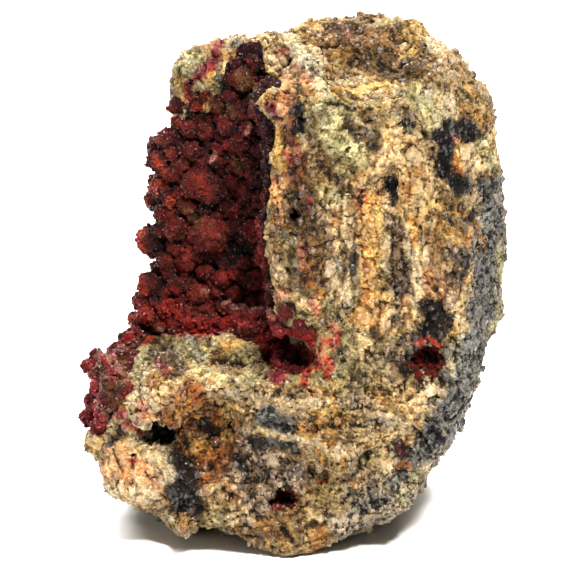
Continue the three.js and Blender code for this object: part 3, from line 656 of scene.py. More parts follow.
def cavities(piece, p, facing, passes):
    """How deep in mm each vertex lies under its surroundings, as smoothed over rings of neighbours."""
    ends = np.empty(len(piece.data.edges) * 2, np.int32)
    piece.data.edges.foreach_get("vertices", ends)
    a, b = ends.reshape(-1, 2).T
    count = np.bincount(a, minlength=len(p)) + np.bincount(b, minlength=len(p)) + 1
    smooth = p.astype(np.float64)
    for _ in range(passes):
        total = smooth.copy()
        for axis in range(3):
            total[:, axis] += np.bincount(a, smooth[b, axis], len(p))
            total[:, axis] += np.bincount(b, smooth[a, axis], len(p))
        smooth = total / count[:, None]
    return np.einsum("ij,ij->i", smooth - p, facing).astype(np.float32)


def sunken(piece, p, facing, rings, depth):
    """From 0 to 1 where a piece's vertices lie under their surroundings."""
    return smoothstep(0.0, depth, cavities(piece, p, facing, rings))


def keep(piece, name, values):
    """Keeps a number for each vertex."""
    layer = piece.data.attributes.new(name, "FLOAT", "POINT")
    layer.data.foreach_set("value", values.astype(np.float32))


def paint(piece, name, colours):
    """Keeps a colour for each vertex, as red, green and blue from 0 to 1."""
    layer = piece.data.color_attributes.new(name, "FLOAT_COLOR", "POINT")
    rows = np.ones((len(colours), 4), np.float32)
    rows[:, :3] = colours
    layer.data.foreach_set("color", rows.ravel())


def painted(piece, colours):
    """Keeps the colours of a piece's light and dark grains."""
    for name, colour in zip(("light", "dark"), colours):
        paint(piece, name, colour)


def crisp(piece, degrees):
    """Smooth shading, but not over edges that turn by more than so many degrees."""
    piece.data.shade_smooth()
    piece.data.set_sharp_from_angle(angle=math.radians(degrees))


# ---- Minerals ----------------------------------------------------------------------------------------

# Each has the colour of its light grains and of its dark ones, as red, green and blue from 0 to 255.
MINERALS = {
    "matrix": ((214, 190, 138), (120, 92, 54)),
    "umber": ((160, 126, 80), (88, 64, 36)),
    "bark": ((118, 96, 62), (54, 42, 27)),
    "olive": ((156, 146, 104), (74, 68, 44)),
    "quartz": ((190, 184, 142), (120, 112, 76)),
    "pale_green": ((236, 236, 196), (160, 158, 108)),
    "pale": ((254, 246, 220), (216, 196, 158)),
    "cream": ((248, 232, 188), (192, 158, 110)),
    "straw": ((246, 220, 146), (192, 146, 74)),
    "amber": ((246, 208, 140), (206, 140, 74)),
    "peach": ((248, 208, 166), (212, 150, 108)),
    "ochre": ((224, 172, 92), (142, 92, 38)),
    "rust": ((166, 104, 54), (88, 50, 24)),
    "black": ((34, 25, 22), (8, 6, 6)),
    "slate": ((132, 140, 150), (32, 34, 44)),
    "slate_pale": ((200, 210, 212), (80, 88, 96)),
    "lilac": ((214, 200, 182), (124, 106, 90)),
    "weathered": ((200, 194, 182), (74, 70, 66)),
    "breccia": ((190, 164, 132), (60, 44, 32)),
    "rose": ((242, 180, 160), (196, 104, 88)),
    "scarlet": ((206, 66, 40), (122, 20, 16)),
    "magenta": ((170, 46, 66), (96, 14, 30)),
}

# Patches of a mineral on the side that faces the viewer: strength, radius, and the line on the sheet that
# it is drawn along. Later ones lie over earlier ones.
STROKES = [
    # broad masses
    ("bark", 0.85, 1.8, [(5.4, 40.4), (7.6, 39.0), (9.0, 38.0)]),
    ("pale_green", 0.85, 1.6, [(2.8, 33.6), (5.2, 31.4)]),
    ("cream", 0.85, 1.4, [(9.2, 31.6), (10.6, 28.4)]),
    ("pale_green", 0.9, 1.2, [(10.0, 36.0), (12.0, 34.6)]),
    ("pale", 0.65, 0.9, [(3.5, 25.4), (3.4, 22.0), (3.8, 18.8)]),
    ("bark", 0.75, 0.34, [(4.9, 24.6), (4.8, 21.4)]),
    ("bark", 0.7, 0.4, [(2.4, 24.2), (2.3, 20.0)]),
    ("slate", 0.6, 0.4, [(3.6, 22.8), (4.0, 20.6)]),
    ("amber", 0.9, 0.75, [(6.2, 26.6), (6.3, 22.0), (6.2, 16.9)]),
    ("pale", 0.85, 0.75, [(10.4, 24.2), (10.1, 21.0), (10.6, 18.2)]),
    ("bark", 0.85, 0.85, [(1.4, 28.4), (1.4, 24.0), (1.3, 19.0)]),
    ("umber", 0.8, 1.2, [(13.2, 26.4), (14.6, 23.8)]),
    ("ochre", 0.6, 0.5, [(12.9, 26.6), (14.2, 25.0)]),
    ("black", 0.9, 0.5, [(14.8, 22.4), (13.6, 20.4), (12.4, 18.2), (11.4, 16.4)]),
    ("weathered", 0.9, 2.2, [(14.4, 7.6), (11.4, 4.4), (8.4, 2.2), (5.0, -0.2)]),
    ("weathered", 0.7, 1.2, [(4.6, 9.6), (7.4, 8.4)]),
    ("pale", 0.8, 0.5, [(8.0, 5.0), (11.6, 4.2)]),
    # top face
    ("umber", 0.85, 2.21, [(0.6, 40.1), (4.4, 39.9), (9.1, 38.8)]),
    ("umber", 0.5, 1.7, [(12.5, 37.6), (15.5, 34.2)]),
    ("bark", 0.9, 1.28, [(6.1, 38.7), (9.5, 37.8)]),
    ("bark", 0.7, 0.68, [(3.1, 41.4), (5, 41.1)]),
    ("bark", 0.7, 0.6, [(8.4, 40.5), (9.4, 41.4)]),
    ("straw", 0.7, 0.6, [(0.6, 41.7), (2.1, 41.9)]),
    ("straw", 0.6, 0.51, [(3.3, 38.7), (3.8, 38)]),
    ("pale_green", 0.95, 0.6, [(-0.4, 40.2), (0.8, 39), (2, 37.3), (2.6, 35.8)]),
    ("pale", 1.0, 0.36, [(-0.6, 41.0), (1.0, 38.9)]),
    ("pale", 1.0, 0.36, [(0.5, 38.4), (2.2, 36.5)]),
    ("pale", 0.95, 0.3, [(1.4, 39.9), (2.6, 37.9)]),
    ("slate_pale", 0.6, 0.3, [(0.2, 40.0), (1.4, 38.0)]),
    ("pale_green", 0.7, 0.34, [(0.3, 40.5), (0.9, 39.5)]),
    ("rose", 0.6, 0.68, [(-2.1, 38.8), (-0.6, 39.2)]),
    ("rose", 0.6, 0.43, [(0.3, 38), (0.8, 36.8)]),
    ("rose", 0.3, 0.3, [(4, 41.9), (4.8, 40.5)]),
    ("straw", 0.85, 0.43, [(3.7, 36.1), (5.4, 36), (7.7, 36.3), (9.4, 36.5)]),
    ("cream", 0.7, 0.51, [(6.5, 35.4), (8.4, 35.8)]),
    ("straw", 0.9, 0.85, [(9.6, 39.4), (10.1, 40.7), (10.6, 41.4)]),
    ("cream", 0.7, 0.34, [(8.9, 38.7), (9.8, 40.2)]),
    ("pale_green", 0.8, 1.1, [(10.1, 35.8), (11.8, 34.4), (12.2, 32.7)]),
    ("pale", 0.9, 0.77, [(11.2, 36.0), (12.6, 35.0), (13, 34.2)]),
    ("olive", 0.6, 0.68, [(14.4, 36.1), (15.4, 34.8)]),
    ("ochre", 0.6, 0.43, [(15.4, 34.4), (15.9, 33.4)]),
    ("pale_green", 0.75, 0.68, [(16.2, 31.5), (16.6, 29.8)]),
    ("olive", 0.6, 0.51, [(17.1, 29.8), (17.6, 28.3)]),
    ("ochre", 0.7, 0.43, [(16.6, 28.8), (17.4, 27.3)]),
    # black pocket round a crystal, upper right
    ("black", 1.0, 0.8, [(12.3, 31.9), (13, 32.9), (14.4, 33.1), (15, 32.2)]),
    ("black", 1.0, 0.95, [(12.5, 30.8), (12.7, 29.3)]),
    ("black", 1.0, 0.85, [(13.5, 28.8), (14.4, 28)]),
    ("rose", 0.8, 0.26, [(13.2, 32.4), (13.5, 32)]),
    ("amber", 0.95, 0.85, [(13.9, 31.2), (14, 30.3)]),
    ("pale", 0.8, 0.43, [(14.9, 31), (15.2, 30.2)]),
    ("rust", 0.7, 0.26, [(13.7, 29.3), (14.7, 29.2)]),
    # main face
    ("quartz", 0.75, 2.04, [(3.1, 33.7), (3.6, 30.3)]),
    ("pale_green", 0.85, 1.02, [(2.8, 34.4), (3.7, 32.6)]),
    ("pale_green", 0.8, 0.68, [(3.8, 31.2), (5.9, 30.3)]),
    ("bark", 0.9, 0.75, [(2.9, 30.2), (3.8, 27.8)]),
    ("quartz", 0.8, 0.43, [(4, 29.3), (4.3, 29.2)]),
    ("bark", 0.9, 0.5, [(4.7, 32.9), (6.8, 31.6)]),
    ("pale_green", 0.75, 0.77, [(2.5, 28), (3.5, 26.9)]),
    ("umber", 0.6, 1.02, [(2.5, 29.7), (2.5, 28.8)]),
    ("cream", 0.7, 1.19, [(8.4, 32), (9.8, 33.1)]),
    ("cream", 0.75, 1.36, [(7.7, 29.5), (9.8, 29)]),
    ("amber", 0.6, 0.6, [(9.8, 31.2), (10.3, 28.8), (9.4, 27.3)]),
    ("quartz", 0.6, 0.51, [(7.2, 33.2), (7.9, 33.6)]),
    ("black", 1.0, 0.5, [(8.4, 28.3), (8.6, 26.9)]),
    ("black", 1.0, 0.45, [(14.9, 25.7), (15.3, 25.4)]),
    ("slate", 0.6, 0.51, [(8.9, 33.7), (9.4, 33.1)]),
    ("umber", 0.6, 0.5, [(1.8, 24.4), (2.1, 19.3)]),
    ("magenta", 0.8, 0.3, [(1.3, 26.4), (1.5, 25.7)]),
    ("magenta", 0.8, 0.26, [(1.0, 23.0), (1.3, 22.3)]),
    ("rust", 0.8, 0.4, [(1.4, 21.6), (1.2, 19.8)]),
    ("rust", 0.7, 0.43, [(3.5, 25.4), (3.7, 24.7)]),
    ("umber", 0.6, 0.32, [(2.8, 25.2), (2.9, 21.4)]),
    ("bark", 0.6, 0.55, [(1.8, 33.8), (1.7, 30.6)]),
    ("pale", 0.75, 0.45, [(4.3, 26.3), (4.5, 23.7), (4.2, 22.2), (4.3, 19.8)]),
    ("cream", 0.8, 0.51, [(3.7, 24.4), (3.7, 22.7)]),
    ("bark", 0.7, 0.2, [(4.0, 25.8), (4.0, 23.6), (4.3, 21.8), (4.0, 19.6)]),
    ("black", 0.7, 0.34, [(5.2, 22.2), (5, 21)]),
    ("quartz", 0.7, 0.43, [(5.4, 20.6), (5.2, 19.1)]),
    ("amber", 0.85, 0.51, [(6.2, 27.3), (6.4, 25.1), (6.4, 21.7)]),
    ("straw", 0.85, 0.43, [(7, 26.4), (7.2, 23.5), (7.1, 21.2), (7.2, 18.4)]),
    ("pale", 0.8, 0.26, [(7.5, 23.9), (7.6, 21.7)]),
    ("rose", 0.5, 0.43, [(5.7, 27.6), (5.7, 26.4)]),
    ("rust", 0.6, 0.34, [(6.2, 21.7), (6.5, 20.8)]),
    ("breccia", 0.85, 0.6, [(8.1, 25.1), (8.6, 21.7), (8.8, 18.4), (8.6, 16.6)]),
    ("cream", 0.75, 0.51, [(9.1, 25.8), (9.6, 24.2)]),
    ("ochre", 0.8, 0.43, [(9.9, 24.9), (10.3, 23.5)]),
    ("breccia", 0.75, 0.51, [(9.3, 21.7), (9.4, 18.8)]),
    ("pale", 0.75, 0.34, [(11, 23.9), (10.3, 21.7), (10.6, 19.3)]),
    ("straw", 0.7, 0.51, [(10.5, 25.6), (11.5, 26.4)]),
    ("umber", 0.7, 0.43, [(11.3, 24.1), (11.5, 21.7)]),
    ("straw", 0.7, 0.6, [(12.5, 24.3), (13.5, 23.4)]),
    ("peach", 0.9, 0.85, [(11.6, 20.3), (12.3, 19.3)]),
    ("peach", 0.8, 0.43, [(13, 19.6), (13, 18.8)]),
    ("cream", 0.7, 0.6, [(10.5, 18.4), (10.8, 17.4)]),
    ("ochre", 0.75, 0.6, [(14.4, 23.7), (14.9, 23)]),
    ("olive", 0.7, 0.51, [(13.3, 25.1), (14.4, 24.7)]),
    ("black", 0.7, 0.43, [(13.3, 22), (13.9, 21.5)]),
    ("pale_green", 0.8, 0.26, [(13.9, 21.2), (14.1, 21.1)]),
    ("breccia", 0.7, 0.6, [(13.9, 19.8), (13.3, 18.4)]),
    ("umber", 0.35, 1.2, [(11.2, 23.6), (14.0, 19.8)]),
    ("straw", 0.7, 0.43, [(15, 20.1), (15.4, 19.6)]),
    ("quartz", 0.8, 0.43, [(14.7, 18.1), (14.7, 17.1)]),
    # dark pocket and the red-lined vug under it
    ("black", 0.9, 0.85, [(11.6, 17.8), (12.7, 16.7)]),
    ("black", 0.9, 1.1, [(11.5, 15.6), (11.1, 14)]),
    ("black", 0.8, 0.6, [(12.3, 13), (12.5, 12)]),
    ("straw", 0.7, 0.43, [(13.5, 16.2), (13.9, 15.6)]),
    ("black", 0.8, 0.6, [(9.9, 15.0), (9.7, 12.4)]),
    ("scarlet", 0.75, 0.3, [(10.2, 14.6), (11.4, 15.1), (12.6, 14.6)]),
    # slate along the right edge
    ("slate", 0.9, 1.5, [(17.3, 27.4), (16.9, 23.5), (16.6, 20.1), (16.1, 16.7)]),
    ("slate", 0.9, 1.5, [(15.6, 14.2), (14.4, 10.6), (12.8, 7.4)]),
    ("slate_pale", 0.7, 0.51, [(16.4, 25.8), (16.2, 24.4)]),
    ("slate_pale", 0.6, 0.6, [(13.9, 15.2), (13.3, 12.3)]),
    ("ochre", 0.6, 0.26, [(15.6, 25.1), (15.9, 23.2)]),
    ("pale_green", 0.6, 0.34, [(17.6, 23.9), (17.6, 20.1), (17.1, 15.9)]),
    ("slate", 0.7, 0.5, [(12.2, 6.0), (8.6, 3.6)]),
    ("slate", 0.6, 0.68, [(11.1, 6.7), (9.9, 4.7)]),
    ("slate", 0.5, 0.51, [(7.4, 2), (4.8, 0.4)]),
    ("rust", 0.8, 0.43, [(9.1, 4.5), (9.6, 4.2)]),
    ("pale_green", 0.5, 0.51, [(10.8, 4), (9.4, 1.4)]),
    # middle, under the bands
    ("amber", 0.95, 0.68, [(5.2, 17.1), (6.2, 16.7)]),
    ("rust", 0.7, 0.34, [(7.4, 17.4), (7.5, 16.4)]),
    ("cream", 0.8, 0.34, [(8.1, 17.4), (8.1, 16.6)]),
    ("olive", 0.6, 1.02, [(3, 16.6), (3.5, 15.9)]),
    ("quartz", 0.6, 0.51, [(2.8, 17.8), (3.5, 17.4)]),
    ("olive", 0.55, 1.19, [(4.3, 13.7), (5, 12.3)]),
    ("cream", 0.6, 0.77, [(6.5, 14.2), (7.1, 12.3)]),
    ("breccia", 0.7, 0.77, [(8.8, 14.5), (8.8, 12)]),
    ("straw", 0.55, 0.68, [(6.4, 10.6), (8.4, 9.6)]),
    ("pale", 0.9, 0.45, [(8.4, 8.6), (9.4, 7.8)]),
    ("black", 0.85, 0.5, [(8.9, 6.2), (9.3, 5.4)]),
    ("magenta", 0.5, 0.3, [(8.9, 6.2), (9.3, 5.4)]),
    ("pale", 0.85, 0.45, [(4.9, 5.4), (5.6, 4.4)]),
    ("cream", 0.6, 0.85, [(9.9, 10.6), (10.1, 8.9)]),
    ("quartz", 0.5, 0.68, [(3.1, 11.3), (4.2, 10.5)]),
    ("cream", 0.6, 0.77, [(4.8, 7.4), (7.7, 7.2)]),
    ("breccia", 0.6, 0.68, [(5, 4.7), (6.7, 3.1)]),
    # round the cavern
    ("scarlet", 0.9, 0.55, [(2.7, 14.8), (2.1, 13.6), (1.4, 12.4)]),
    ("rose", 0.8, 0.3, [(2.4, 14.2), (1.9, 13.2)]),
    ("magenta", 0.9, 0.6, [(-3.0, 14.0), (-2.2, 12.6), (-1.0, 11.8)]),
    ("scarlet", 0.8, 0.3, [(-2.6, 13.4), (-1.8, 12.2)]),
    ("scarlet", 0.9, 0.34, [(0.9, 12.8), (1.4, 11.3)]),
    ("scarlet", 0.9, 0.34, [(3.5, 15.6), (3.8, 14.9)]),
    ("rose", 0.8, 0.34, [(3.1, 16.1), (3.5, 15.7)]),
    ("scarlet", 0.8, 0.34, [(2.5, 13.2), (3, 12.5)]),
    ("rose", 0.85, 0.43, [(-1.4, 18.8), (-0.4, 19.1)]),
    ("rose", 0.8, 0.34, [(1.6, 18.4), (2.1, 17.4)]),
    ("quartz", 0.8, 0.34, [(2.5, 14.7), (2.8, 14)]),
    # bands that run down to the right
    ("pale", 0.9, 0.55, [(-9.3, 11.6), (-6, 10.9), (-3.7, 10.2), (-0.8, 9.9), (2.1, 9.6)]),
    ("straw", 0.6, 0.51, [(2.3, 8.9), (5.4, 8.4)]),
    ("pale", 0.8, 0.34, [(-5.7, 7), (-2, 7.6), (0.8, 6.4), (4.7, 5.7)]),
    ("bark", 0.3, 1.4, [(-7.6, 10.8), (-3.6, 10.2), (0.2, 9.4)]),
    ("slate", 0.95, 0.8, [(-2.6, 8.6), (-1.4, 8.2), (-0.4, 8.1)]),
    ("slate", 0.8, 0.34, [(-1.8, 6.5), (-0.6, 6.2)]),
    ("umber", 0.7, 0.51, [(-5.7, 8.9), (-3.5, 7.9)]),
    ("ochre", 0.6, 0.51, [(0.6, 7.9), (3.1, 7.4)]),
    # breccia low in the middle
    ("breccia", 0.95, 2.0, [(-3.7, 4.9), (-2.8, 2.2), (-0.6, 3.4)]),
    ("black", 0.8, 0.5, [(-3.2, 6.3), (-0.2, 5.9)]),
    ("black", 0.8, 0.43, [(-4.7, 5.2), (-4.2, 4)]),
    ("black", 0.95, 0.51, [(-0.9, 2.3), (-0.9, 1.6)]),
    ("scarlet", 0.9, 0.34, [(-1.7, 1.4), (-1.3, 1.1)]),
    ("scarlet", 0.8, 0.26, [(2.3, 3.1), (2.6, 3)]),
    ("straw", 0.5, 1.02, [(2.1, 1.4), (4, 1.1)]),
    ("cream", 0.9, 0.85, [(-7.4, 3.1), (-6.5, 1.8)]),
    ("rust", 0.6, 0.43, [(-5.5, 2.5), (-4.8, 1.4)]),
    # ledge and its front
    ("scarlet", 0.85, 0.4, [(-12.6, 15.2), (-10.8, 15.8), (-8.4, 15.7), (-6.6, 15.5)]),
    ("rose", 0.8, 0.24, [(-11.6, 15.6), (-10.0, 15.5)]),
    ("quartz", 0.85, 1.02, [(-13, 14), (-8.8, 14.2), (-4.5, 14), (-2.6, 12.8)]),
    ("olive", 0.6, 0.6, [(-11.3, 12.8), (-9.4, 13.2)]),
    ("straw", 0.95, 0.6, [(-6.2, 14.7), (-5.2, 14.7)]),
    ("amber", 0.8, 0.34, [(-4.8, 14.9), (-4.5, 14.5)]),
    ("pale_green", 0.8, 0.68, [(-8.2, 12.3), (-5.7, 12.7), (-3.1, 11.6)]),
    ("bark", 0.85, 1.0, [(-11.6, 14.2), (-10.2, 12.8)]),
    ("magenta", 0.7, 0.4, [(-11.4, 13.4), (-10.6, 12.6)]),
    ("slate_pale", 0.7, 0.5, [(-8.6, 15.2), (-8.2, 13.6)]),
    # partly painted shade: this umber stands for the shadow on the ledge, left of the cavern
    ("umber", 0.8, 0.7, [(-6.6, 13.4), (-4.6, 13.0)]),
    ("pale_green", 0.8, 0.43, [(-8.8, 14.7), (-7.6, 14)]),
    ("cream", 0.9, 0.51, [(-12.2, 9.9), (-10.6, 11.1), (-8.2, 11.8), (-6.5, 11.5)]),
    ("pale", 0.95, 0.68, [(-12.8, 8.6), (-11.3, 8.9), (-9.9, 9.4)]),
    ("scarlet", 0.85, 0.5, [(-14.0, 8.0), (-12.6, 7.8)]),
    ("rose", 0.85, 0.5, [(-13.0, 9.6), (-12.4, 8.6)]),
    ("peach", 0.8, 0.6, [(-12.2, 8.2), (-11, 7.9)]),
    ("bark", 0.9, 0.8, [(-9.6, 9.6), (-8.0, 10.0), (-6.0, 10.0), (-4.6, 9.4)]),
    # rusty scoop
    ("rust", 0.95, 2.3, [(-8.8, 9.1), (-6.7, 7.1), (-7.6, 4.9)]),
    ("ochre", 0.8, 0.9, [(-9.4, 9.6), (-7.9, 8.4)]),
    ("straw", 0.75, 0.6, [(-5.6, 8.8), (-5.5, 6.8)]),
    ("scarlet", 0.6, 0.5, [(-8.2, 5.8), (-7.0, 5.2)]),
    ("ochre", 0.9, 0.8, [(-8.6, 5.9), (-6.9, 5.7)]),
    ("straw", 0.8, 0.4, [(-8.9, 6.9), (-8.1, 6.1)]),
    ("umber", 0.8, 0.5, [(-7.6, 7.3), (-6.8, 6.3)]),
    ("straw", 0.6, 0.51, [(-6.5, 10.3), (-4.8, 9.6)]),
    ("black", 0.95, 0.68, [(-11.5, 7.4), (-10.3, 7.2)]),
    ("black", 0.7, 0.51, [(-7.4, 7.9), (-6.7, 7.4)]),
    ("black", 0.92, 1.5, [(-9.6, 4.0), (-9.4, 2.4), (-8.8, 0.8)]),
    ("slate", 0.6, 0.5, [(-10.4, 2.6), (-9.4, 1.4)]),
    ("umber", 0.7, 0.5, [(-8.0, 0.8), (-8.4, -0.6)]),
    ("ochre", 0.85, 0.6, [(-9.6, 0.1), (-9.1, -0.9)]),
    ("pale", 0.9, 0.9, [(-12.8, 6.5), (-11.3, 5.2), (-10.8, 3.7)]),
    # between the patches of crust at the left end
    ("olive", 0.8, 0.7, [(-16.2, 12.8), (-15.2, 10.6)]),
    ("pale", 0.85, 0.5, [(-15.2, 14.4), (-16.6, 13.2)]),
    ("rose", 0.85, 0.5, [(-15.0, 13.0), (-14.0, 11.2)]),
    ("quartz", 0.8, 0.5, [(-13.6, 12.8), (-13.0, 11.4)]),
    ("magenta", 0.7, 0.5, [(-15.6, 9.8), (-14.6, 9.0)]),
    # pink corner and yellow crystal
    ("peach", 1.0, 1.8, [(-14.7, 4.5), (-13, 2.8)]),
    ("pale", 0.9, 0.9, [(-15, 2.6), (-12.2, 1.8)]),
    ("cream", 0.6, 0.6, [(-14.5, 6), (-13, 5.9)]),
    ("scarlet", 0.85, 0.26, [(-13.7, 4.9), (-13.5, 4.8)]),
    ("scarlet", 0.8, 0.21, [(-14.6, 3.2), (-14.5, 3.1)]),
    ("straw", 0.95, 0.6, [(-17.3, 6.7), (-16.6, 6)]),
    ("black", 0.9, 0.34, [(-15.4, 6.9), (-15.2, 6.6)]),
    ("olive", 0.7, 0.43, [(-16.1, 6), (-15.6, 5.2)]),
    # the strip between the hollow and the main face; its dark browns are partly painted shade, for a face
    # turned away from the light
    ("umber", 0.9, 1.36, [(-0.9, 37.1), (-0.8, 32), (-0.6, 26.9), (-0.4, 22.7)]),
    ("ochre", 0.5, 0.4, [(-1.2, 37.0), (-0.8, 33.6), (-1.4, 30.6), (-0.7, 27.9), (-1.0, 24.8)]),
    ("bark", 0.6, 0.6, [(0.1, 35.6), (0.3, 31.4), (0.5, 27.4)]),
    ("magenta", 0.28, 0.5, [(-0.2, 35.0), (0.2, 31.4), (0.2, 28.4)]),
    ("bark", 0.85, 0.8, [(0.3, 27.4), (0.4, 22.7), (0.3, 19.6)]),
    ("cream", 0.85, 0.6, [(-2.5, 40.2), (-1.8, 38.3), (-1.4, 36.6), (-2.5, 36.1)]),
    (
        "straw", 0.9, 0.45,
        [(-2.3, 38), (-2, 37), (-2.6, 35.9), (-2.9, 34.4), (-2.5, 32), (-2.1, 29.9), (-2.2, 28.2)],
    ),
    ("pale", 0.7, 0.34, [(-1.4, 38.7), (-0.8, 37.8), (-0.3, 38.8)]),
    ("rust", 0.6, 0.35, [(-0.6, 35.8), (-0.1, 34.1), (0.3, 32)]),
    ("magenta", 0.75, 0.4, [(-1.8, 34.6), (-1.3, 33.9)]),
    ("scarlet", 0.5, 0.4, [(-0.9, 35.6), (-0.3, 35.1)]),
    ("straw", 0.8, 0.26, [(-1.4, 33.1), (-1.1, 32), (-0.6, 31)]),
    ("black", 0.95, 0.34, [(0.6, 34.4), (0.6, 32.4)]),
    ("straw", 0.85, 0.45, [(-1.3, 31), (-0.9, 29.7)]),
    ("peach", 0.75, 0.5, [(-0.9, 37.4), (-0.4, 36.0), (-0.8, 33.2)]),
    ("peach", 0.7, 0.45, [(-1.0, 28.8), (-1.2, 26.0)]),
    ("magenta", 0.6, 0.34, [(-0.5, 30.5), (-0.3, 29.8)]),
    ("rose", 0.85, 0.26, [(-1.7, 28.8), (-1.4, 28.3)]),
    ("amber", 0.9, 0.43, [(-1.4, 27.3), (-1.2, 26.6)]),
    ("black", 0.85, 0.34, [(-0.2, 25.6), (0.1, 24.9)]),
    ("olive", 0.75, 0.6, [(-0.8, 23.7), (-0.3, 21.7)]),
    ("rust", 0.5, 0.3, [(0.6, 29.8), (0.9, 26.9)]),
    ("rose", 0.6, 0.34, [(0.3, 23.4), (0.8, 21.7)]),
    # the upper back wall
    ("quartz", 0.8, 1.02, [(-9.1, 37.3), (-7.1, 36.1), (-5.7, 36.8)]),
    ("pale_green", 0.8, 0.68, [(-9.6, 38.3), (-7.9, 39.2)]),
    ("pale", 0.8, 0.34, [(-6.7, 36.3), (-6.3, 36.1)]),
    ("straw", 0.6, 0.43, [(-9.8, 37.1), (-9.6, 35.6)]),
    ("magenta", 0.8, 0.43, [(-5.9, 40.2), (-6.7, 38.8), (-8.1, 37.3), (-9.1, 36.3)]),
    ("scarlet", 0.7, 0.43, [(-9.1, 36.1), (-8.4, 35.3), (-7.1, 35.6)]),
    ("rose", 0.85, 0.34, [(-9.9, 35.6), (-9.3, 35.3)]),
    ("ochre", 0.7, 0.6, [(-4.5, 39.2), (-3.3, 38)]),
    ("ochre", 0.7, 0.43, [(-6.7, 35.1), (-5.9, 34.8)]),
    ("ochre", 0.7, 0.34, [(-4.6, 35.4), (-4.4, 34.4)]),
    ("umber", 0.7, 0.68, [(-4.7, 36.8), (-4, 37.1)]),
    ("black", 0.8, 0.51, [(-5.4, 37.3), (-4.8, 35.8)]),
]
# Where larger, cleaner crystals make a smoother surface: radius and line on the sheet.
CLEAN = [
    (2.2, [(-14.6, 4.6), (-13.2, 3.0)]),
    (0.9, [(-12.4, 9.2), (-10.4, 11.0), (-7.6, 11.8)]),
    (1.2, [(-7.4, 3.1), (-6.5, 1.8)]),
    (1.0, [(3.5, 25.4), (3.6, 19.0)]),
    (0.8, [(6.2, 26.4), (6.2, 17.0)]),
    (1.4, [(9.2, 31.6), (10.6, 28.4)]),
    (0.8, [(10.4, 24.2), (10.6, 18.2)]),
    (1.3, [(2.8, 33.6), (5.2, 31.4)]),
    (0.8, [(-8.2, 12.3), (-3.1, 11.6)]),
    (1.0, [(11.6, 20.3), (12.6, 19.0)]),
    (0.7, [(-6.0, 11.0), (-0.8, 9.9), (2.1, 9.6)]),
]
# Upright ribs of the main face: their size, and where they start and are whole, on each side.
RIB_SIZE = (1.15, 1.3, 3.6)
RIBBED = {
    "left": (2.2, 3.6), "right": (14, 11.5), "bottom": (15, 17), "top": (30, 27), "facing": (-0.45, -0.75),
}
RIB_GAP = (0.16, 0.04)  # how near the next rib is, where the dark between them starts and is whole
# Each rib is of one mineral: those whose random number lies between these.
RIB_MINERALS = [
    ("pale", 0.0, 0.26), ("amber", 0.26, 0.36), ("cream", 0.36, 0.56), ("peach", 0.56, 0.64),
    ("straw", 0.64, 0.74), ("quartz", 0.74, 0.88), ("ochre", 0.88, 0.94), ("umber", 0.94, 1.0),
]
# Patches all over, and more of them on the sides that the viewer doesn't see: mineral, size, and the noise
# above which they lie.
PATCHES = [
    ("umber", 5.0, 0.15), ("cream", 3.2, 0.1), ("quartz", 4.2, 0.15), ("slate", 4.6, 0.7),
    ("pale", 2.2, 0.2), ("ochre", 2.4, 0.34), ("bark", 1.6, 0.42),
]
FAR_PATCHES = [
    ("umber", (7, 7, 5), 0.1), ("slate_pale", (6, 6, 4), 0.3), ("pale", (9, 9, 1.6), 0.4),
    ("bark", (4, 4, 3), 0.3),
]
PATCH_EDGE, FAR_EDGE = 0.22, 0.2  # how much more noise it takes until they are whole
SPECKS = [("pale", 0.1), ("amber", 0.05), ("bark", 0.06)]  # single grains: mineral, and how many are of it
SPECK_SIZE = (0.5, 0.5, 0.8)
CLAST_SIZE = (0.95, 0.95, 1.3)  # pale pieces in the breccia's dark ground
BRECCIA_DARK, BRECCIA_PALE = 0.42, 0.9  # how black its ground is, and how pale its pieces
COVER = {"patch": 0.85, "rib": 0.7, "gap": 0.8, "speck": 0.5, "far": 0.75}  # how much each hides
SHADE_SIZE = (0.85, 0.85, 1.25)  # grains that differ a little in brightness and warmth
SHADES = (0.82, 0.4)  # the darkest grain, and how much brighter the brightest is
SEAMS = (0.8, 0.2)  # the same for the seams between grains, and for their middles
SHADE_WANDER = 0.32  # how much the brightness varies over larger areas
WARMTH = (0.06, -0.04, -0.25)  # what a warmer grain has more of, in red, green and blue
SEEN = (-0.25, 0.1)  # how far a surface is turned to the viewer, where strokes start and are whole
ALBEDO = (0.31, 0.26, 0.2)  # the colours are as they look in the studio's strong light
# How soft the edges of strokes are, and the size and the height of the noise by which they wander.
STROKE_EDGE, STROKE_WANDER = (1.2, 0.8), (1.6, 0.55)
CLEAN_EDGE, CLEAN_WANDER = (1.3, 0.7), (1.4, 0.4)
TINT_EDGE, TINT_WANDER = (1.25, 0.75), (1.0, 0.3)


def linear(colour):
    """What a surface of a colour from 0 to 255 reflects, by the curve of sRGB."""
    c = np.array(colour, np.float32) / 255
    light = np.where(c <= 0.04045, c / 12.92, ((c + 0.055) / 1.055) ** 2.4)
    return (light * np.array(ALBEDO)).astype(np.float32)


def unsteady_places(p, noise_of, wander, seed):
    """Where points are on the sheet, but for some noise."""
    size, by = wander
    return p[:, 0] + noise_of(p, size, seed) * by, up_of(p) + noise_of(p, size, seed + 10) * by


def cleanness(p, facing):
    """From 0 to 1 where the crystals are larger and cleaner."""
    across, up = unsteady_places(p, rough_noise, CLEAN_WANDER, 84)
    clean = np.zeros(len(p), np.float32)
    for radius, line in CLEAN:
        clean = np.maximum(clean, near_line(line, radius, CLEAN_EDGE, across, up))
    return clean * smoothstep(*SEEN, facing @ TO_VIEWER)


def ribs_at(p):
    """Upright ribs of the main face, as grains gives them."""
    return grains(p + noise(p, 1.6, 53)[:, None] * 0.5, RIB_SIZE, 51)


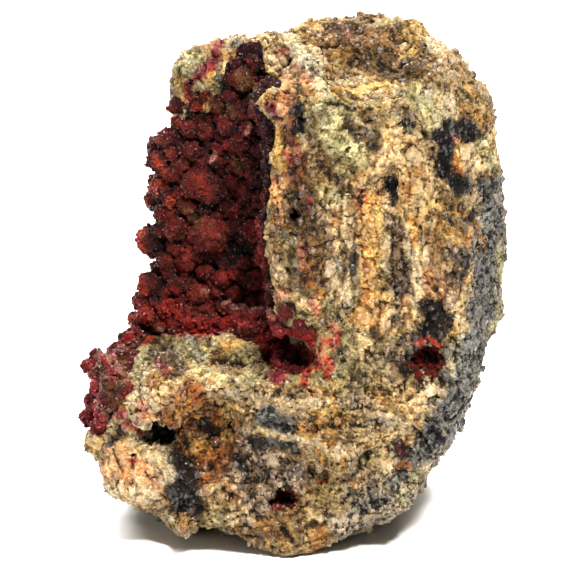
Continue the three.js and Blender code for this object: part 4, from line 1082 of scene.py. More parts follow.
def on_ribs(p, facing):
    """How much of the ribbed part of the main face a point is in, from 0 to 1."""
    wander = rough_noise(p, 3.0, 58) * 1.2
    across, up = p[:, 0] + wander, up_of(p) + wander
    inside = smoothstep(*RIBBED["left"], across) * smoothstep(*RIBBED["right"], across)
    inside = inside * smoothstep(*RIBBED["bottom"], up) * smoothstep(*RIBBED["top"], up)
    return inside * smoothstep(*RIBBED["facing"], facing[:, 1])


def lay_over(colours, others, weight):
    """Lays other colours of light and dark grains over those that are there."""
    for colour, other in zip(colours, others):
        colour += (other - colour) * weight[:, None]


def mineral_colours(p, facing):
    """The colours of the light and the dark grains at points on the rock."""
    colours = [np.tile(np.sqrt(linear(c)), (len(p), 1)) for c in MINERALS["matrix"]]

    def lay(mineral, weight):
        lay_over(colours, [np.sqrt(linear(c)) for c in MINERALS[mineral]], weight)

    for seed, (mineral, size, share) in enumerate(PATCHES):
        inside = smoothstep(share, share + PATCH_EDGE, rough_noise(p, size, 60 + seed))
        lay(mineral, inside * COVER["patch"])
    rib, _, gaps = ribs_at(p)
    ribbed = on_ribs(p, facing)
    for mineral, low, high in RIB_MINERALS:
        lay(mineral, ribbed * ((rib >= low) & (rib < high)) * COVER["rib"])
    lay("umber", ribbed * smoothstep(*RIB_GAP, gaps) * COVER["gap"])
    for seed, (mineral, share) in enumerate(SPECKS):
        speck, _, _ = grains(p, SPECK_SIZE, 120 + 10 * seed)
        lay(mineral, (speck < share) * COVER["speck"])
    seen = smoothstep(*SEEN, facing @ TO_VIEWER)
    for seed, (mineral, size, share) in enumerate(FAR_PATCHES):
        inside = smoothstep(share, share + FAR_EDGE, rough_noise(p, size, 140 + 5 * seed))
        lay(mineral, (1 - seen) * inside * COVER["far"])
    across, up = unsteady_places(p, rough_noise, STROKE_WANDER, 80)
    wander = noise(p, 0.8, 170)[:, None] * 0.25
    clast, _, edge = grains(p + wander, CLAST_SIZE, 191)
    pale_clast = (clast < 0.5) * smoothstep(0.05, 0.15, edge)
    for mineral, strength, radius, line in STROKES:
        inside = near_line(line, radius, STROKE_EDGE, across, up) * seen * strength
        lay(mineral, inside)
        if mineral == "breccia":
            lay("black", inside * (1 - pale_clast) * BRECCIA_DARK)
            lay("lilac", inside * pale_clast * BRECCIA_PALE)
    chance, _, seam = grains(p + wander, SHADE_SIZE, 171)
    shade = (SHADES[0] + SHADES[1] * chance) * (SEAMS[0] + SEAMS[1] * smoothstep(0.03, 0.16, seam))
    warmth, _, _ = grains(p + wander, SHADE_SIZE, 181)
    shade *= 1 + SHADE_WANDER * rough_noise(p, 1.7, 175)
    tone = shade[:, None] * (1 + (warmth[:, None] - 0.5) * np.array(WARMTH, np.float32))
    return [colour**2 * tone for colour in colours]


# ---- Materials ---------------------------------------------------------------------------------------


def nodes_of(name):
    material = bpy.data.materials.new(name)
    material.use_nodes = True
    tree = material.node_tree
    tree.nodes.clear()
    shader = tree.nodes.new("ShaderNodeBsdfPrincipled")
    output = tree.nodes.new("ShaderNodeOutputMaterial")
    tree.links.new(shader.outputs["BSDF"], output.inputs["Surface"])
    return material, tree, shader


def add(tree, kind, inputs=(), **settings):
    """A node with its settings, and its inputs set or linked by name or number."""
    node = tree.nodes.new("ShaderNode" + kind)
    for key, value in settings.items():
        setattr(node, key, value)
    for key, value in dict(inputs).items():
        if isinstance(value, bpy.types.NodeSocket):
            tree.links.new(value, node.inputs[key])
        else:
            node.inputs[key].default_value = value
    return node


def maths(tree, operation, a, b=0.0, c=0.0, clamp=False):
    return add(tree, "Math", {0: a, 1: b, 2: c}, operation=operation, use_clamp=clamp).outputs[0]


def weighted(tree, start, *terms):
    """A number, plus each of some values times its weight."""
    for value, weight in terms:
        start = maths(tree, "MULTIPLY_ADD", value, weight, start)
    return start


def facets(tree, place, size):
    """Grains about so many mm large, each a face tilted its own way: its height and its random number."""
    cells = add(tree, "TexVoronoi", {"Vector": place, "Scale": 1 / (size * MM)})
    off = add(tree, "VectorMath", {0: place, 1: cells.outputs["Position"]}, operation="SUBTRACT")
    tilt = add(tree, "VectorMath", {0: cells.outputs["Color"], 1: (0.5, 0.5, 0.5)}, operation="SUBTRACT")
    height = add(tree, "VectorMath", {0: off.outputs[0], 1: tilt.outputs[0]}, operation="DOT_PRODUCT")
    chance = add(tree, "SeparateColor", {0: cells.outputs["Color"]}).outputs[0]
    return height.outputs["Value"], chance


def place_of(tree, wander=0.0, size=1.0):
    """The place on the object, or one that wanders off it."""
    place = add(tree, "TexCoord").outputs["Object"]
    if not wander:
        return place
    drift = add(tree, "TexNoise", {"Vector": place, "Scale": 1 / (size * MM), "Detail": 2.0})
    middle = add(tree, "VectorMath", {0: drift.outputs["Color"], 1: (0.5, 0.5, 0.5)}, operation="SUBTRACT")
    scaled = add(tree, "VectorMath", {0: middle.outputs[0], "Scale": wander * MM}, operation="SCALE")
    return add(tree, "VectorMath", {0: place, 1: scaled.outputs[0]}, operation="ADD").outputs[0]


def attribute(tree, name, output="Color"):
    return add(tree, "Attribute", attribute_name=name).outputs[output]


def mixed(tree, share, a, b):
    node = add(tree, "Mix", {0: share}, data_type="RGBA")
    for key, value in ((6, a), (7, b)):
        if isinstance(value, bpy.types.NodeSocket):
            tree.links.new(value, node.inputs[key])
        else:
            node.inputs[key].default_value = (*value, 1)
    return node.outputs[2]


def ramp(tree, value, low, high):
    node = add(tree, "MapRange", {0: value, 1: low, 2: high}, interpolation_type="SMOOTHSTEP")
    return node.outputs[0]


def grained(tree, shader, share, bright, least):
    """Colours a surface from dark to light grains by share, dimmed by bright, but not below a least."""
    colour = mixed(tree, share, attribute(tree, "dark"), attribute(tree, "light"))
    bright = maths(tree, "MAXIMUM", bright, least)
    colour = add(tree, "VectorMath", {0: colour, "Scale": bright}, operation="SCALE").outputs[0]
    tree.links.new(colour, shader.inputs["Base Color"])


def uneven(tree, shader, height, strength=1.0):
    """Makes a surface look as if it had bumps of that height."""
    bump = add(tree, "Bump", {"Height": height, "Strength": strength, "Distance": 1.0})
    tree.links.new(bump.outputs[0], shader.inputs["Normal"])


def see_through(shader, weight, reach, depth):
    """Lets light into a surface: how much, how far for each colour, and how deep in mm."""
    shader.inputs["Subsurface Weight"].default_value = weight
    shader.inputs["Subsurface Radius"].default_value = reach
    shader.inputs["Subsurface Scale"].default_value = depth * MM


def rock_material():
    """Broken crystalline rock: light and dark grains of a mineral, faces that glint, and painted shade in
    crevices and pits.
    """
    material, tree, shader = nodes_of("dolomite_and_quartz")
    place = place_of(tree, wander=0.25, size=0.9)
    coarse_height, coarse = facets(tree, place, 0.45)
    fine_height, fine = facets(tree, place, 0.2)
    tiny_height, tiny = facets(tree, place, 0.11)
    cloud = {"Vector": place, "Scale": 1 / (0.5 * MM), "Detail": 4.0, "Roughness": 0.7}
    grit = add(tree, "TexNoise", cloud).outputs["Fac"]
    kept = ("grain", "crevice_shade", "pit_shade", "clean")
    grain, crevice_shade, pit_shade, clean = (attribute(tree, name, "Fac") for name in kept)
    share = weighted(tree, -0.26, (grain, 0.4), (coarse, 0.4), (fine, 0.35))
    # painted shade: crevices and pits are darkened and turned towards the dark grains
    share = weighted(tree, share, (grit, 0.55), (crevice_shade, -0.35))
    bright = weighted(tree, 0.7, (tiny, 0.6), (fine, 0.5), (crevice_shade, -0.8), (pit_shade, -0.5))
    grained(tree, shader, ramp(tree, share, 0.3, 0.74), bright, 0.06)
    tree.links.new(weighted(tree, 0.98, (ramp(tree, tiny, 0.7, 0.95), -0.76)), shader.inputs["Roughness"])
    height = weighted(tree, 0.0, (coarse_height, 0.9), (fine_height, 0.9), (tiny_height, 0.8))
    uneven(tree, shader, maths(tree, "MULTIPLY", height, weighted(tree, 1.0, (clean, -0.65))))
    shader.inputs["Specular IOR Level"].default_value = 0.13
    return material


def roselite_material():
    """Dark red crystals, sugary and a little see-through, with faces that sparkle."""
    material, tree, shader = nodes_of("roselite")
    place = place_of(tree)
    coarse_height, coarse = facets(tree, place, 0.26)
    fine_height, fine = facets(tree, place, 0.13)
    grain, crevice_shade, pit_shade = (attribute(tree, name, "Fac") for name in ("grain", "crevice_shade", "pit_shade"))
    # painted shade: crevices and pits are darkened and turned towards the dark grains
    share = weighted(tree, -0.12, (grain, 0.45), (coarse, 0.35), (fine, 0.4), (crevice_shade, -0.4))
    bright = weighted(tree, 0.98, (crevice_shade, -0.7), (pit_shade, -0.8))
    grained(tree, shader, ramp(tree, share, 0.05, 0.8), bright, 0.05)
    tree.links.new(weighted(tree, 0.95, (ramp(tree, fine, 0.72, 0.9), -0.7)), shader.inputs["Roughness"])
    uneven(tree, shader, weighted(tree, coarse_height, (fine_height, 1.2)))
    shader.inputs["Specular IOR Level"].default_value = 0.1
    see_through(shader, 0.5, (1.0, 0.2, 0.1), 0.5)
    return material


def floor_material():
    material, tree, shader = nodes_of("pale_floor")
    grain = add(tree, "TexNoise", {"Scale": 60.0, "Detail": 2.0}).outputs["Fac"]
    tint = mixed(tree, grain, (0.9, 0.9, 0.88), (0.93, 0.93, 0.92))
    tree.links.new(tint, shader.inputs["Base Color"])
    shader.inputs["Roughness"].default_value = 0.6
    return material


# ---- The rock ----------------------------------------------------------------------------------------

# What the broken surface is made of: sizes, and how far it stands out, in mm.
LARGE_KNOBS, SMALL_KNOBS = (2.6, 0.26), (1.1, 0.12)
BLOCKS = (1.7, 0.32)
BLOCK_SEAMS = (0.12, 0.03)  # how near the next block is, and how deep the seam
CHIPS = ((0.6, 0.6, 0.8), 0.15)
GRIT = (0.32, 0.05)
CLEAN_FACES = ((1.5, 1.5, 1.9), 0.2)
RIB_HEIGHT, RIB_RISE = 0.2, 0.05
RIB_SEAMS = (0.22, 0.16)
ON_RIBS = 0.7  # how much of the blocks is missing on ribs
ON_CLEAN = 0.8  # how much of the chips and grit is missing on clean faces
UNDER_CRUST = 0.15  # how far below its smooth surface the rock stays at least where the crust covers it
ROCK_BOTTOM = (0.05, 0.8)  # heights between which the broken surface fades out towards the flat base
ROCK_CRISP, CRUST_CRISP = 28, 40  # edges that turn by more degrees are sharp


def chips_at(p):
    return grains(p + noise(p, 1.0, 29)[:, None] * 0.2, CHIPS[0], 31)


def broken_rock(p, facing):
    """How far the broken surface stands out from the smooth one."""
    large = rough_noise(p, LARGE_KNOBS[0], 11) * LARGE_KNOBS[1]
    small = rough_noise(p, SMALL_KNOBS[0], 17, 2) * SMALL_KNOBS[1]
    _, blocks, seams = grains(p + facing * 3, BLOCKS[0], 21)
    _, chips, _ = chips_at(p)
    ribbed = on_ribs(p, facing)
    _, ribs, gaps = ribs_at(p)
    seams = smoothstep(BLOCK_SEAMS[0], 0, seams) * BLOCK_SEAMS[1]
    stand = large + small + (1 - ON_RIBS * ribbed) * (blocks * BLOCKS[1] - seams)
    gaps = smoothstep(RIB_SEAMS[0], 0, gaps) * RIB_SEAMS[1]
    stand += ribbed * (ribs * RIB_HEIGHT + RIB_RISE - gaps)
    clean = cleanness(p, facing)
    faces, _, _ = grains(p + noise(p, 1.2, 29)[:, None] * 0.3, CLEAN_FACES[0], 33)
    stand += chips * CHIPS[1] * (1 - ON_CLEAN * clean)
    stand += noise(p, GRIT[0], 37) * GRIT[1] * (1 - ON_CLEAN * clean)
    stand += (faces - 0.5) * CLEAN_FACES[1] * clean
    under = smoothstep(0.3, -0.5, crust_room(p))
    return (stand - under * (np.maximum(stand, 0) + UNDER_CRUST)) * smoothstep(*ROCK_BOTTOM, p[:, 2])


def host_rock():
    values = grid_of(rock_with_vugs, ROCK_LOW, ROCK_HIGH, ROCK_CELL)
    p, quads = skin_of(values, ROCK_LOW, ROCK_CELL)
    facing = normals_of(p, quads)
    p = p + facing * broken_rock(p, facing)[:, None]
    piece = mesh_from("rock", p, quads)
    thinned(piece, MOST_TRIANGLES)
    p, facing = points_of(piece)
    painted(piece, mineral_colours(p, facing))
    keep(piece, "grain", chips_at(p)[0])
    keep(piece, "clean", cleanness(p, facing))
    # painted shade in crevices and pits, kept for the material
    keep(piece, "crevice_shade", sunken(piece, p, facing, *CREVICE_SHADE))
    keep(piece, "pit_shade", sunken(piece, p, facing, *PIT_SHADE))
    crisp(piece, ROCK_CRISP)
    piece.data.materials.append(rock_material())
    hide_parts("host_rock")
    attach(piece, BODY)
    return piece


# ---- The roselite ------------------------------------------------------------------------------------

# In the same form as the minerals and their patches.
TINTS = {
    "roselite": ((118, 27, 17), (46, 7, 5)),
    "ember": ((196, 74, 46), (104, 24, 16)),
    "scarlet": ((196, 46, 46), (86, 10, 14)),
    "frost": ((246, 204, 198), (196, 104, 108)),
    "rosy": ((200, 76, 84), (96, 18, 30)),
    "dusty": ((142, 54, 36), (60, 14, 10)),
    "moss": ((140, 100, 56), (54, 32, 18)),
    # painted shade, laid in the gaps of the crust
    "deep": ((64, 17, 12), (20, 4, 3)),
}
ROSELITE_GRAIN = 0.55  # size of the grains of one brightness
CRUST_SEEN = (-0.5, -0.1)  # as SEEN, for the crust
CRUST_DUST_AND_TOP_LIGHT = 0.18  # how much of the dusty tint it has where it faces up: dust, and painted light on its lit tops
CRUST_STROKES = [
    # painted glow on the edges on the left, where back light shines through them
    ("ember", 0.9, 0.34, [(-11.3, 32), (-11.5, 30.3), (-11.1, 29.5)]),
    ("ember", 0.9, 0.43, [(-11.8, 28.8), (-12, 27.8), (-12.2, 26.6)]),
    ("ember", 0.9, 0.43, [(-13, 24.4), (-13.3, 23.4), (-12.8, 22.4)]),
    ("ember", 0.85, 0.43, [(-13, 20.3), (-12.8, 18.8), (-13.5, 17.4), (-14.2, 16.2)]),
    ("ember", 0.9, 0.43, [(-10.3, 26.9), (-10.3, 26.4)]),
    ("ember", 0.8, 0.43, [(-10.1, 34.8), (-9.9, 33.1)]),
    ("ember", 0.8, 0.34, [(-8.2, 35.1), (-7.7, 34.8)]),
    ("ember", 0.7, 0.34, [(-9.1, 23.9), (-8.9, 22.2)]),
    ("ember", 0.6, 0.34, [(-8.8, 18.8), (-8.4, 18.3)]),
    # bright red towards the floor's edge, partly painted light on the floor, which lies open to the light
    ("dusty", 0.65, 1.2, [(-12.6, 17.4), (-7.4, 16.6), (-2.4, 16.8)]),
    ("ember", 0.5, 0.8, [(-11.6, 17.4), (-8.0, 16.4)]),
    ("scarlet", 0.7, 0.8, [(-10.4, 18.0), (-10.5, 17.0), (-8.6, 16.4)]),
    ("scarlet", 0.6, 0.6, [(-12.6, 18.6), (-12.9, 16.6)]),
    ("scarlet", 0.55, 0.5, [(-5.8, 20.4), (-4.6, 20.6)]),
    ("scarlet", 0.5, 0.5, [(-7.6, 24.6), (-6.6, 24.4)]),
    ("scarlet", 0.5, 0.5, [(-5.4, 26.6), (-4.8, 26.0)]),
    ("scarlet", 0.9, 0.7, [(-8.2, 15.9), (-6.7, 16.2), (-5.2, 16.4)]),
    ("scarlet", 0.8, 0.7, [(-4.5, 16.8), (-2.6, 16.6)]),
    ("scarlet", 0.8, 1.0, [(-2.3, 15.4), (-0.4, 15.0), (1.6, 14.2)]),
    ("rosy", 0.8, 0.4, [(-2.2, 14.6), (-1.6, 13.0), (-0.4, 12.4)]),
    ("ember", 0.8, 0.45, [(2.0, 15.6), (2.0, 13.8), (1.2, 12.6)]),
    ("scarlet", 0.85, 0.43, [(-13.3, 15.4), (-14, 14.9)]),
    ("scarlet", 0.6, 0.43, [(-10.5, 19.3), (-9.8, 18.4)]),
    ("scarlet", 0.5, 0.51, [(-6.2, 32.4), (-5.7, 31.9)]),
    ("scarlet", 0.5, 0.43, [(-7.9, 28.6), (-7.4, 27.8)]),
    ("scarlet", 0.6, 0.43, [(-3, 25.1), (-2.6, 24.2)]),
    # the thin crust at the left end; its rosy and frost pinks are partly painted light, for light falling
    # on it from the left
    ("scarlet", 0.6, 0.77, [(-16.1, 12.3), (-17.1, 9.8), (-17.1, 7.7)]),
    ("scarlet", 0.6, 0.51, [(-15, 12), (-14.2, 10.8)]),
    ("rosy", 0.9, 0.8, [(-15.6, 13.6), (-14.6, 12.0), (-13.8, 11.4)]),
    ("frost", 0.7, 0.3, [(-15.8, 13.8), (-14.6, 12.6)]),
    ("frost", 0.6, 0.3, [(-16.6, 9.8), (-15.8, 9.0)]),
    ("rosy", 0.9, 0.7, [(-17.0, 12.8), (-16.6, 11.2)]),
    ("rosy", 0.85, 0.6, [(-17.4, 9.4), (-16.2, 8.0)]),
    ("moss", 0.8, 0.5, [(-16.4, 12.6), (-15.4, 10.6)]),
    ("moss", 0.7, 0.4, [(-14.6, 10.0), (-15.4, 8.8)]),
    ("moss", 0.85, 0.5, [(-14.8, 13.4), (-14.2, 12.2), (-14.6, 11.0)]),
    ("frost", 0.55, 0.3, [(-14.6, 14.2), (-13.4, 14.8), (-12.6, 15.4)]),
    # painted shade in the gaps between the groups of balls
    ("deep", 0.75, 0.8, [(-6.5, 29.5), (-5.6, 27.2), (-5.8, 26.5), (-7.4, 26.0)]),
    ("deep", 0.75, 0.7, [(-5.2, 24.4), (-4.6, 22.4), (-4.3, 20.2)]),
    ("deep", 0.65, 0.5, [(-10.2, 20.4), (-9.2, 19.4)]),
    ("deep", 0.7, 0.7, [(-3.0, 32.6), (-2.7, 30.2), (-3.0, 28.2)]),
    ("deep", 0.6, 0.4, [(-8.8, 30.2), (-7.4, 31.2)]),
    ("deep", 0.6, 0.45, [(-9.6, 26.2), (-9.4, 23.2)]),
    ("deep", 0.6, 0.5, [(-7.0, 22.2), (-6.0, 21.6)]),
    # pink and white rims
    ("frost", 0.8, 0.26, [(-11.3, 15.9), (-10.3, 15.7)]),
    ("frost", 0.85, 0.3, [(-1.7, 19.8), (-0.8, 18.8)]),
    ("frost", 0.7, 0.24, [(-5.2, 17.8), (-4.2, 17.9), (-3.4, 17.2)]),
    ("frost", 0.6, 0.22, [(-3.4, 17.8), (-2.4, 17.8), (-1.6, 17.0)]),
    ("rosy", 0.6, 0.8, [(-4.6, 16.8), (-2.6, 16.6), (-1.0, 16.2)]),
    ("frost", 0.8, 0.26, [(-14.8, 12.4), (-14.0, 12.0)]),
    ("frost", 0.8, 0.26, [(-4, 32.7), (-3.7, 33.2)]),
    ("frost", 0.85, 0.3, [(-2, 19.5), (-0.9, 18.6), (-0.3, 19.1)]),
    ("frost", 0.7, 0.26, [(-6, 15.4), (-5, 15.6)]),
    ("frost", 0.7, 0.26, [(-7.7, 19.3), (-7.4, 19.1)]),
    ("frost", 0.6, 0.21, [(-5.9, 18.3), (-5.4, 18.4)]),
    ("frost", 0.6, 0.21, [(-6.7, 30.9), (-6.9, 30.3)]),
    ("frost", 0.7, 0.26, [(-4.5, 14.9), (-3.8, 14.5)]),
    ("frost", 0.5, 0.26, [(-16.7, 13.3), (-16.1, 14)]),
    ("rosy", 0.7, 0.51, [(-3.1, 24.4), (-2.6, 23), (-2.5, 21.7)]),
    ("rosy", 0.6, 0.43, [(-4.7, 16.2), (-4, 17.1), (-2.6, 17.1)]),
    # dusty and mossy balls
    ("dusty", 0.8, 0.85, [(-7.4, 24.7), (-6.4, 23.5)]),
    ("dusty", 0.7, 0.85, [(-11.1, 23.5), (-11.5, 22.9)]),
    ("dusty", 0.7, 0.85, [(-11.1, 31.5), (-10.6, 30.5)]),
    ("dusty", 0.6, 0.68, [(-8.2, 28.5), (-7.4, 27.8)]),
    ("dusty", 0.6, 0.51, [(-7.7, 19.1), (-8.2, 19.5)]),
    ("moss", 0.8, 0.6, [(-4.2, 37.5), (-3.9, 36.6)]),
    ("moss", 0.7, 0.51, [(-6.2, 34.9), (-5.4, 34.4)]),
    ("moss", 0.6, 0.43, [(-8.8, 25.9), (-8.2, 25.4)]),
    ("moss", 0.6, 0.43, [(-4.8, 30.3), (-4.5, 29.7)]),
    ("moss", 0.7, 0.51, [(-3.3, 36), (-3.1, 35.1)]),
]


def shuffled(count, seed):
    """The whole numbers below count, in a mixed order that is always the same."""
    return np.argsort(hashed(np.stack([np.arange(count)] * 3, axis=1), seed))


def filler_balls(centres, radii):
    """Ever smaller balls on the crust's skin, wherever there is room for one."""
    values = grid_of(crust_skin, CRUST_LOW, CRUST_HIGH, FILLER_CELL)
    p, quads = skin_of(values, CRUST_LOW, FILLER_CELL)
    facing = normals_of(p, quads)
    open_air = (rock(p) > CRUST_SKIN * 0.3) & (crust_room(p) < -FILLER_EDGE)
    patch, offset, least = FILLER_BARE
    bare = leanness(p) * (noise(p, patch, 48) + offset) > least
    p, facing = p[open_air & ~bare], facing[open_air & ~bare]
    centres, radii = list(centres), list(radii)
    within = smoothstep(0, CRUST_TAPER * 1.6, -crust_room(p))
    most = FILLER_MOST[0] + FILLER_MOST[1] * within * (1 - FILLER_LEAN * leanness(p))
    for round_number, radius in enumerate(FILLER_RADII):
        for i in shuffled(len(p), 50 + round_number):
            size = radius * (FILLER_SPREAD[0] + FILLER_SPREAD[1] * ((i * GOLDEN_SHARE) % 1))
            if size > most[i] * FILLER_OVER:
                continue
            at = p[i] + facing[i] * (size * FILLER_STANDS)
            away = np.linalg.norm(np.array(centres) - at, axis=1)
            near = away < FILLER_CROWDING * (np.array(radii) + size)
            if not near.any():
                centres.append(at)
                radii.append(size)
    return np.array(centres), np.array(radii)


def bumps_on(centres, radii, bumps, seed):
    """Small bumps spread over balls."""
    sizes_between, stands, room = bumps
    places, sizes = [], []
    for k, (centre, radius) in enumerate(zip(centres, radii)):
        count = int(4 * radius**2 / room)
        i = np.arange(count)
        cells = np.stack([i, i * 0 + k, i * 0], axis=1)
        size = between(sizes_between, hashed(cells, seed))
        jitter = np.stack([hashed(cells, seed + d) for d in (1, 2, 3)], axis=1) - 0.5
        way = spread_ways(count, k) + jitter * BUMP_WANDER
        places.append(centre + way * (radius - size + stands)[:, None])
        sizes.append(size)
    return np.concatenate(places), np.concatenate(sizes)


def add_balls(values, low, cell, centres, radii, blend):
    """Joins balls to a field that is kept on a grid."""
    low = np.array(low)
    top = np.array(values.shape)
    for centre, radius in zip(centres, radii):
        reach = radius + blend + 2 * cell
        first = np.clip(np.floor((centre - reach - low) / cell).astype(int), 0, top)
        last = np.clip(np.ceil((centre + reach - low) / cell).astype(int) + 1, 0, top)
        if (last <= first).any():
            continue
        part = tuple(slice(a, b) for a, b in zip(first, last))
        off = [((np.arange(a, b) * cell + l - c) ** 2) for a, b, l, c in zip(first, last, low, centre)]
        distance = np.sqrt(off[0][:, None, None] + off[1][None, :, None] + off[2][None, None, :]) - radius
        values[part] = smooth_min(values[part], distance.astype(np.float32), blend)


def crust_colours(p, facing):
    """The colours of the light and the dark grains at points on the crust."""
    tints = {name: [linear(c) for c in colours] for name, colours in TINTS.items()}
    colours = [np.tile(c, (len(p), 1)) for c in tints["roselite"]]
    seen = smoothstep(*CRUST_SEEN, facing @ TO_VIEWER)
    across, up = unsteady_places(p, noise, TINT_WANDER, 82)
    for tint, strength, radius, line in CRUST_STROKES:
        inside = near_line(line, radius, TINT_EDGE, across, up) * seen * strength
        lay_over(colours, tints[tint], inside)
    # the dusty tint on what faces up: dust, and painted light on the lit tops of the balls
    dust_and_top_light = CRUST_DUST_AND_TOP_LIGHT * smoothstep(0.1, 0.9, facing[:, 2] + noise(p, 0.9, 95) * 0.3)
    lay_over(colours, tints["dusty"], dust_and_top_light)
    return colours


def finished_roselite(piece, node):
    p, facing = points_of(piece)
    painted(piece, crust_colours(p, facing))
    keep(piece, "grain", grains(p, ROSELITE_GRAIN, 61)[0])
    # painted shade: crevices and pits, and on the crust also the gaps low between its balls, less of it on
    # the open floor
    keep(piece, "crevice_shade", sunken(piece, p, facing, *CREVICE_SHADE))
    gap = smoothstep(*CRUST_GAP_SHADE_HEIGHTS, rock(p)) * (node == "roselite_crust")
    gap *= 1 - OPEN_FLOOR * smoothstep(*FLOOR_HEIGHTS, up_of(p))
    keep(piece, "pit_shade", np.maximum(sunken(piece, p, facing, *PIT_SHADE), gap))
    crisp(piece, CRUST_CRISP)
    piece.data.materials.append(ROSELITE)
    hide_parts(node)
    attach(piece, BODY)
    return piece


def hollow_crust():
    places = [(across, up) for across, up, _ in BALLS]
    radii = np.array([radius for _, _, radius in BALLS])
    centres = seats(places, -(BALL_STANDS[0] * radii + BALL_STANDS[1]))
    centres, radii = filler_balls(centres, radii)
    values = grid_of(crust_skin, CRUST_LOW, CRUST_HIGH, CRUST_CELL, 0.3)
    add_balls(values, CRUST_LOW, CRUST_CELL, centres, radii, BALL_BLEND)
    large = radii > KNOBBED
    knobs = bumps_on(centres[large], radii[large], KNOBS, 76)
    add_balls(values, CRUST_LOW, CRUST_CELL, *knobs, KNOB_BLEND)
    bumps = bumps_on(np.concatenate([centres, knobs[0]]), np.concatenate([radii, knobs[1]]), BUMPS, 70)
    add_balls(values, CRUST_LOW, CRUST_CELL, *bumps, BUMP_BLEND)
    p, quads = skin_of(values, CRUST_LOW, CRUST_CELL)
    facing = normals_of(p, quads)
    p = p + facing * (noise(p, CRUST_GRIT[0], 45) * CRUST_GRIT[1])[:, None]
    piece = mesh_from("crust", p, quads)
    thinned(piece, MOST_TRIANGLES)
    return finished_roselite(piece, "roselite_crust")


def vug_lining(node):
    """Small balls over the walls of a vug."""
    at, vug_radii = (np.array(v, np.float32) for v in VUGS[node])
    way = spread_ways(LINING_BALLS)[:, [0, 2, 1]]
    way = way[way[:, 1] > LINING_MOUTH]
    cells = np.stack([np.arange(len(way))] * 3, axis=1)
    radii = between(LINING_RADII, hashed(cells, 91))
    centres = at + way * vug_radii * LINING_REACH + (hashed(cells, 92)[:, None] - 0.5) * LINING_WANDER
    low, high = at - vug_radii - 1, at + vug_radii + 1
    count = np.ceil((high - low) / LINING_CELL).astype(int)
    values = np.full(count, 1.0, np.float32)
    add_balls(values, low, LINING_CELL, centres, radii, LINING_BLEND)
    add_balls(values, low, LINING_CELL, *bumps_on(centres, radii, BUMPS, 75), BUMP_BLEND)
    p, quads = skin_of(values, low, LINING_CELL)
    piece = mesh_from(node.replace("roselite", "lining"), p, quads)
    finished_roselite(piece, node)


# ---- Crystals ----------------------------------------------------------------------------------------

# Single crystals that stand out of the rock: mineral, place on the sheet, how far sunk, size and turn in
# degrees.
CRYSTALS = [
    ("cream", (-5.7, 14.7), 0.2, (2.2, 1.8, 1.7), (12, 18, 25)),  # on the ledge
    ("cream", (14.1, 30.7), 0.5, (1.8, 1.7, 2.1), (12, 16, 15)),  # in the dark pocket
    ("pale", (-12.6, 8.0), 0.2, (1.9, 1.5, 1.1), (10, 20, 40)),  # at the ledge's left
    ("pale", (-11.6, 10.2), 0.2, (2.0, 1.4, 1.2), (25, 35, 20)),
    ("amber", (5.7, 16.9), -0.2, (1.6, 1.4, 2.0), (5, 20, 30)),  # of the main front
    ("pale", (3.2, 21.2), 0.3, (1.3, 1.2, 1.7), (8, 22, 50)),
    ("cream", (9.9, 30.4), 0.3, (1.6, 1.4, 1.7), (14, 26, 35)),
    ("lilac", (-1.8, 5.2), 0.2, (1.7, 1.3, 1.2), (20, 35, 10)),  # blocks of the low breccia
    ("lilac", (0.6, 3.6), 0.2, (1.2, 1.2, 1.8), (15, 40, 30)),
    ("straw", (-16.3, 6.5), 0.4, (1.6, 1.5, 1.5), (30, 20, 45)),  # at the left end
]
CRYSTAL_CUT = 0.14  # how much is cut off their edges, as a share of their size
CRYSTAL_CORE = 0.66  # their middle block, as a share of their size
CRYSTAL_SIDE_BLOCKS = 9
SIDE_BLOCK_OFF = 0.7  # how far off the middle these may be, as a share of half the size
SIDE_BLOCK_SIZES = (0.22, 0.5)
BLOCK_SIZES = (0.85, 1.15)  # each block varies by this share
BLOCK_TURN = 14  # degrees by which each leans either way
BLOCK_ROUGH = 0.05  # how far its corners are off, in mm
BLOCK_CHANCES = (0.35, 1.0)  # most of them are pale
SPARKLE_COUNT = 10000
SPARKLE_SIZES = (0.03, 0.08)  # half lengths, in mm
SPARKLE_SHAPES = (0.7, 1.5)  # how their half axes vary about that
SPARKLE_STANDS = 0.2  # how far they stand out, by their half length
# the tips are painted lighter than the crust they stand on: a painted highlight, besides the real glints
# of their faces
SPARKLE_BRIGHT = 1.5
SPARKLE_FACING = -0.6  # none on what faces down more than this
GRAIN_COUNT = 15500
GRAIN_SIZES = (0.07, 0.32)
GRAIN_SHAPES = ([0.5, 0.5, 0.8], [0.9, 0.9, 1.5])  # least and most of their half axes, by that
GRAIN_UPRIGHT = 2.5  # how strongly they stand on end
GRAIN_SHEAR, GRAIN_ROUGH = 0.3, 0.12  # how far they lean, and how far their corners are off
GRAIN_SUNK = 0.35  # by their half length
GRAIN_CLEAR = (0.4, 0.1, -0.5)  # above the base, outside the crust's room, or facing away from the viewer

BLOCK_CORNERS = np.array([(x, y, z) for x in (-1, 1) for y in (-1, 1) for z in (-1, 1)], np.float32)
BLOCK_SIDES = [(0, 1, 3, 2), (4, 6, 7, 5), (0, 4, 5, 1), (2, 3, 7, 6), (0, 2, 6, 4), (1, 5, 7, 3)]


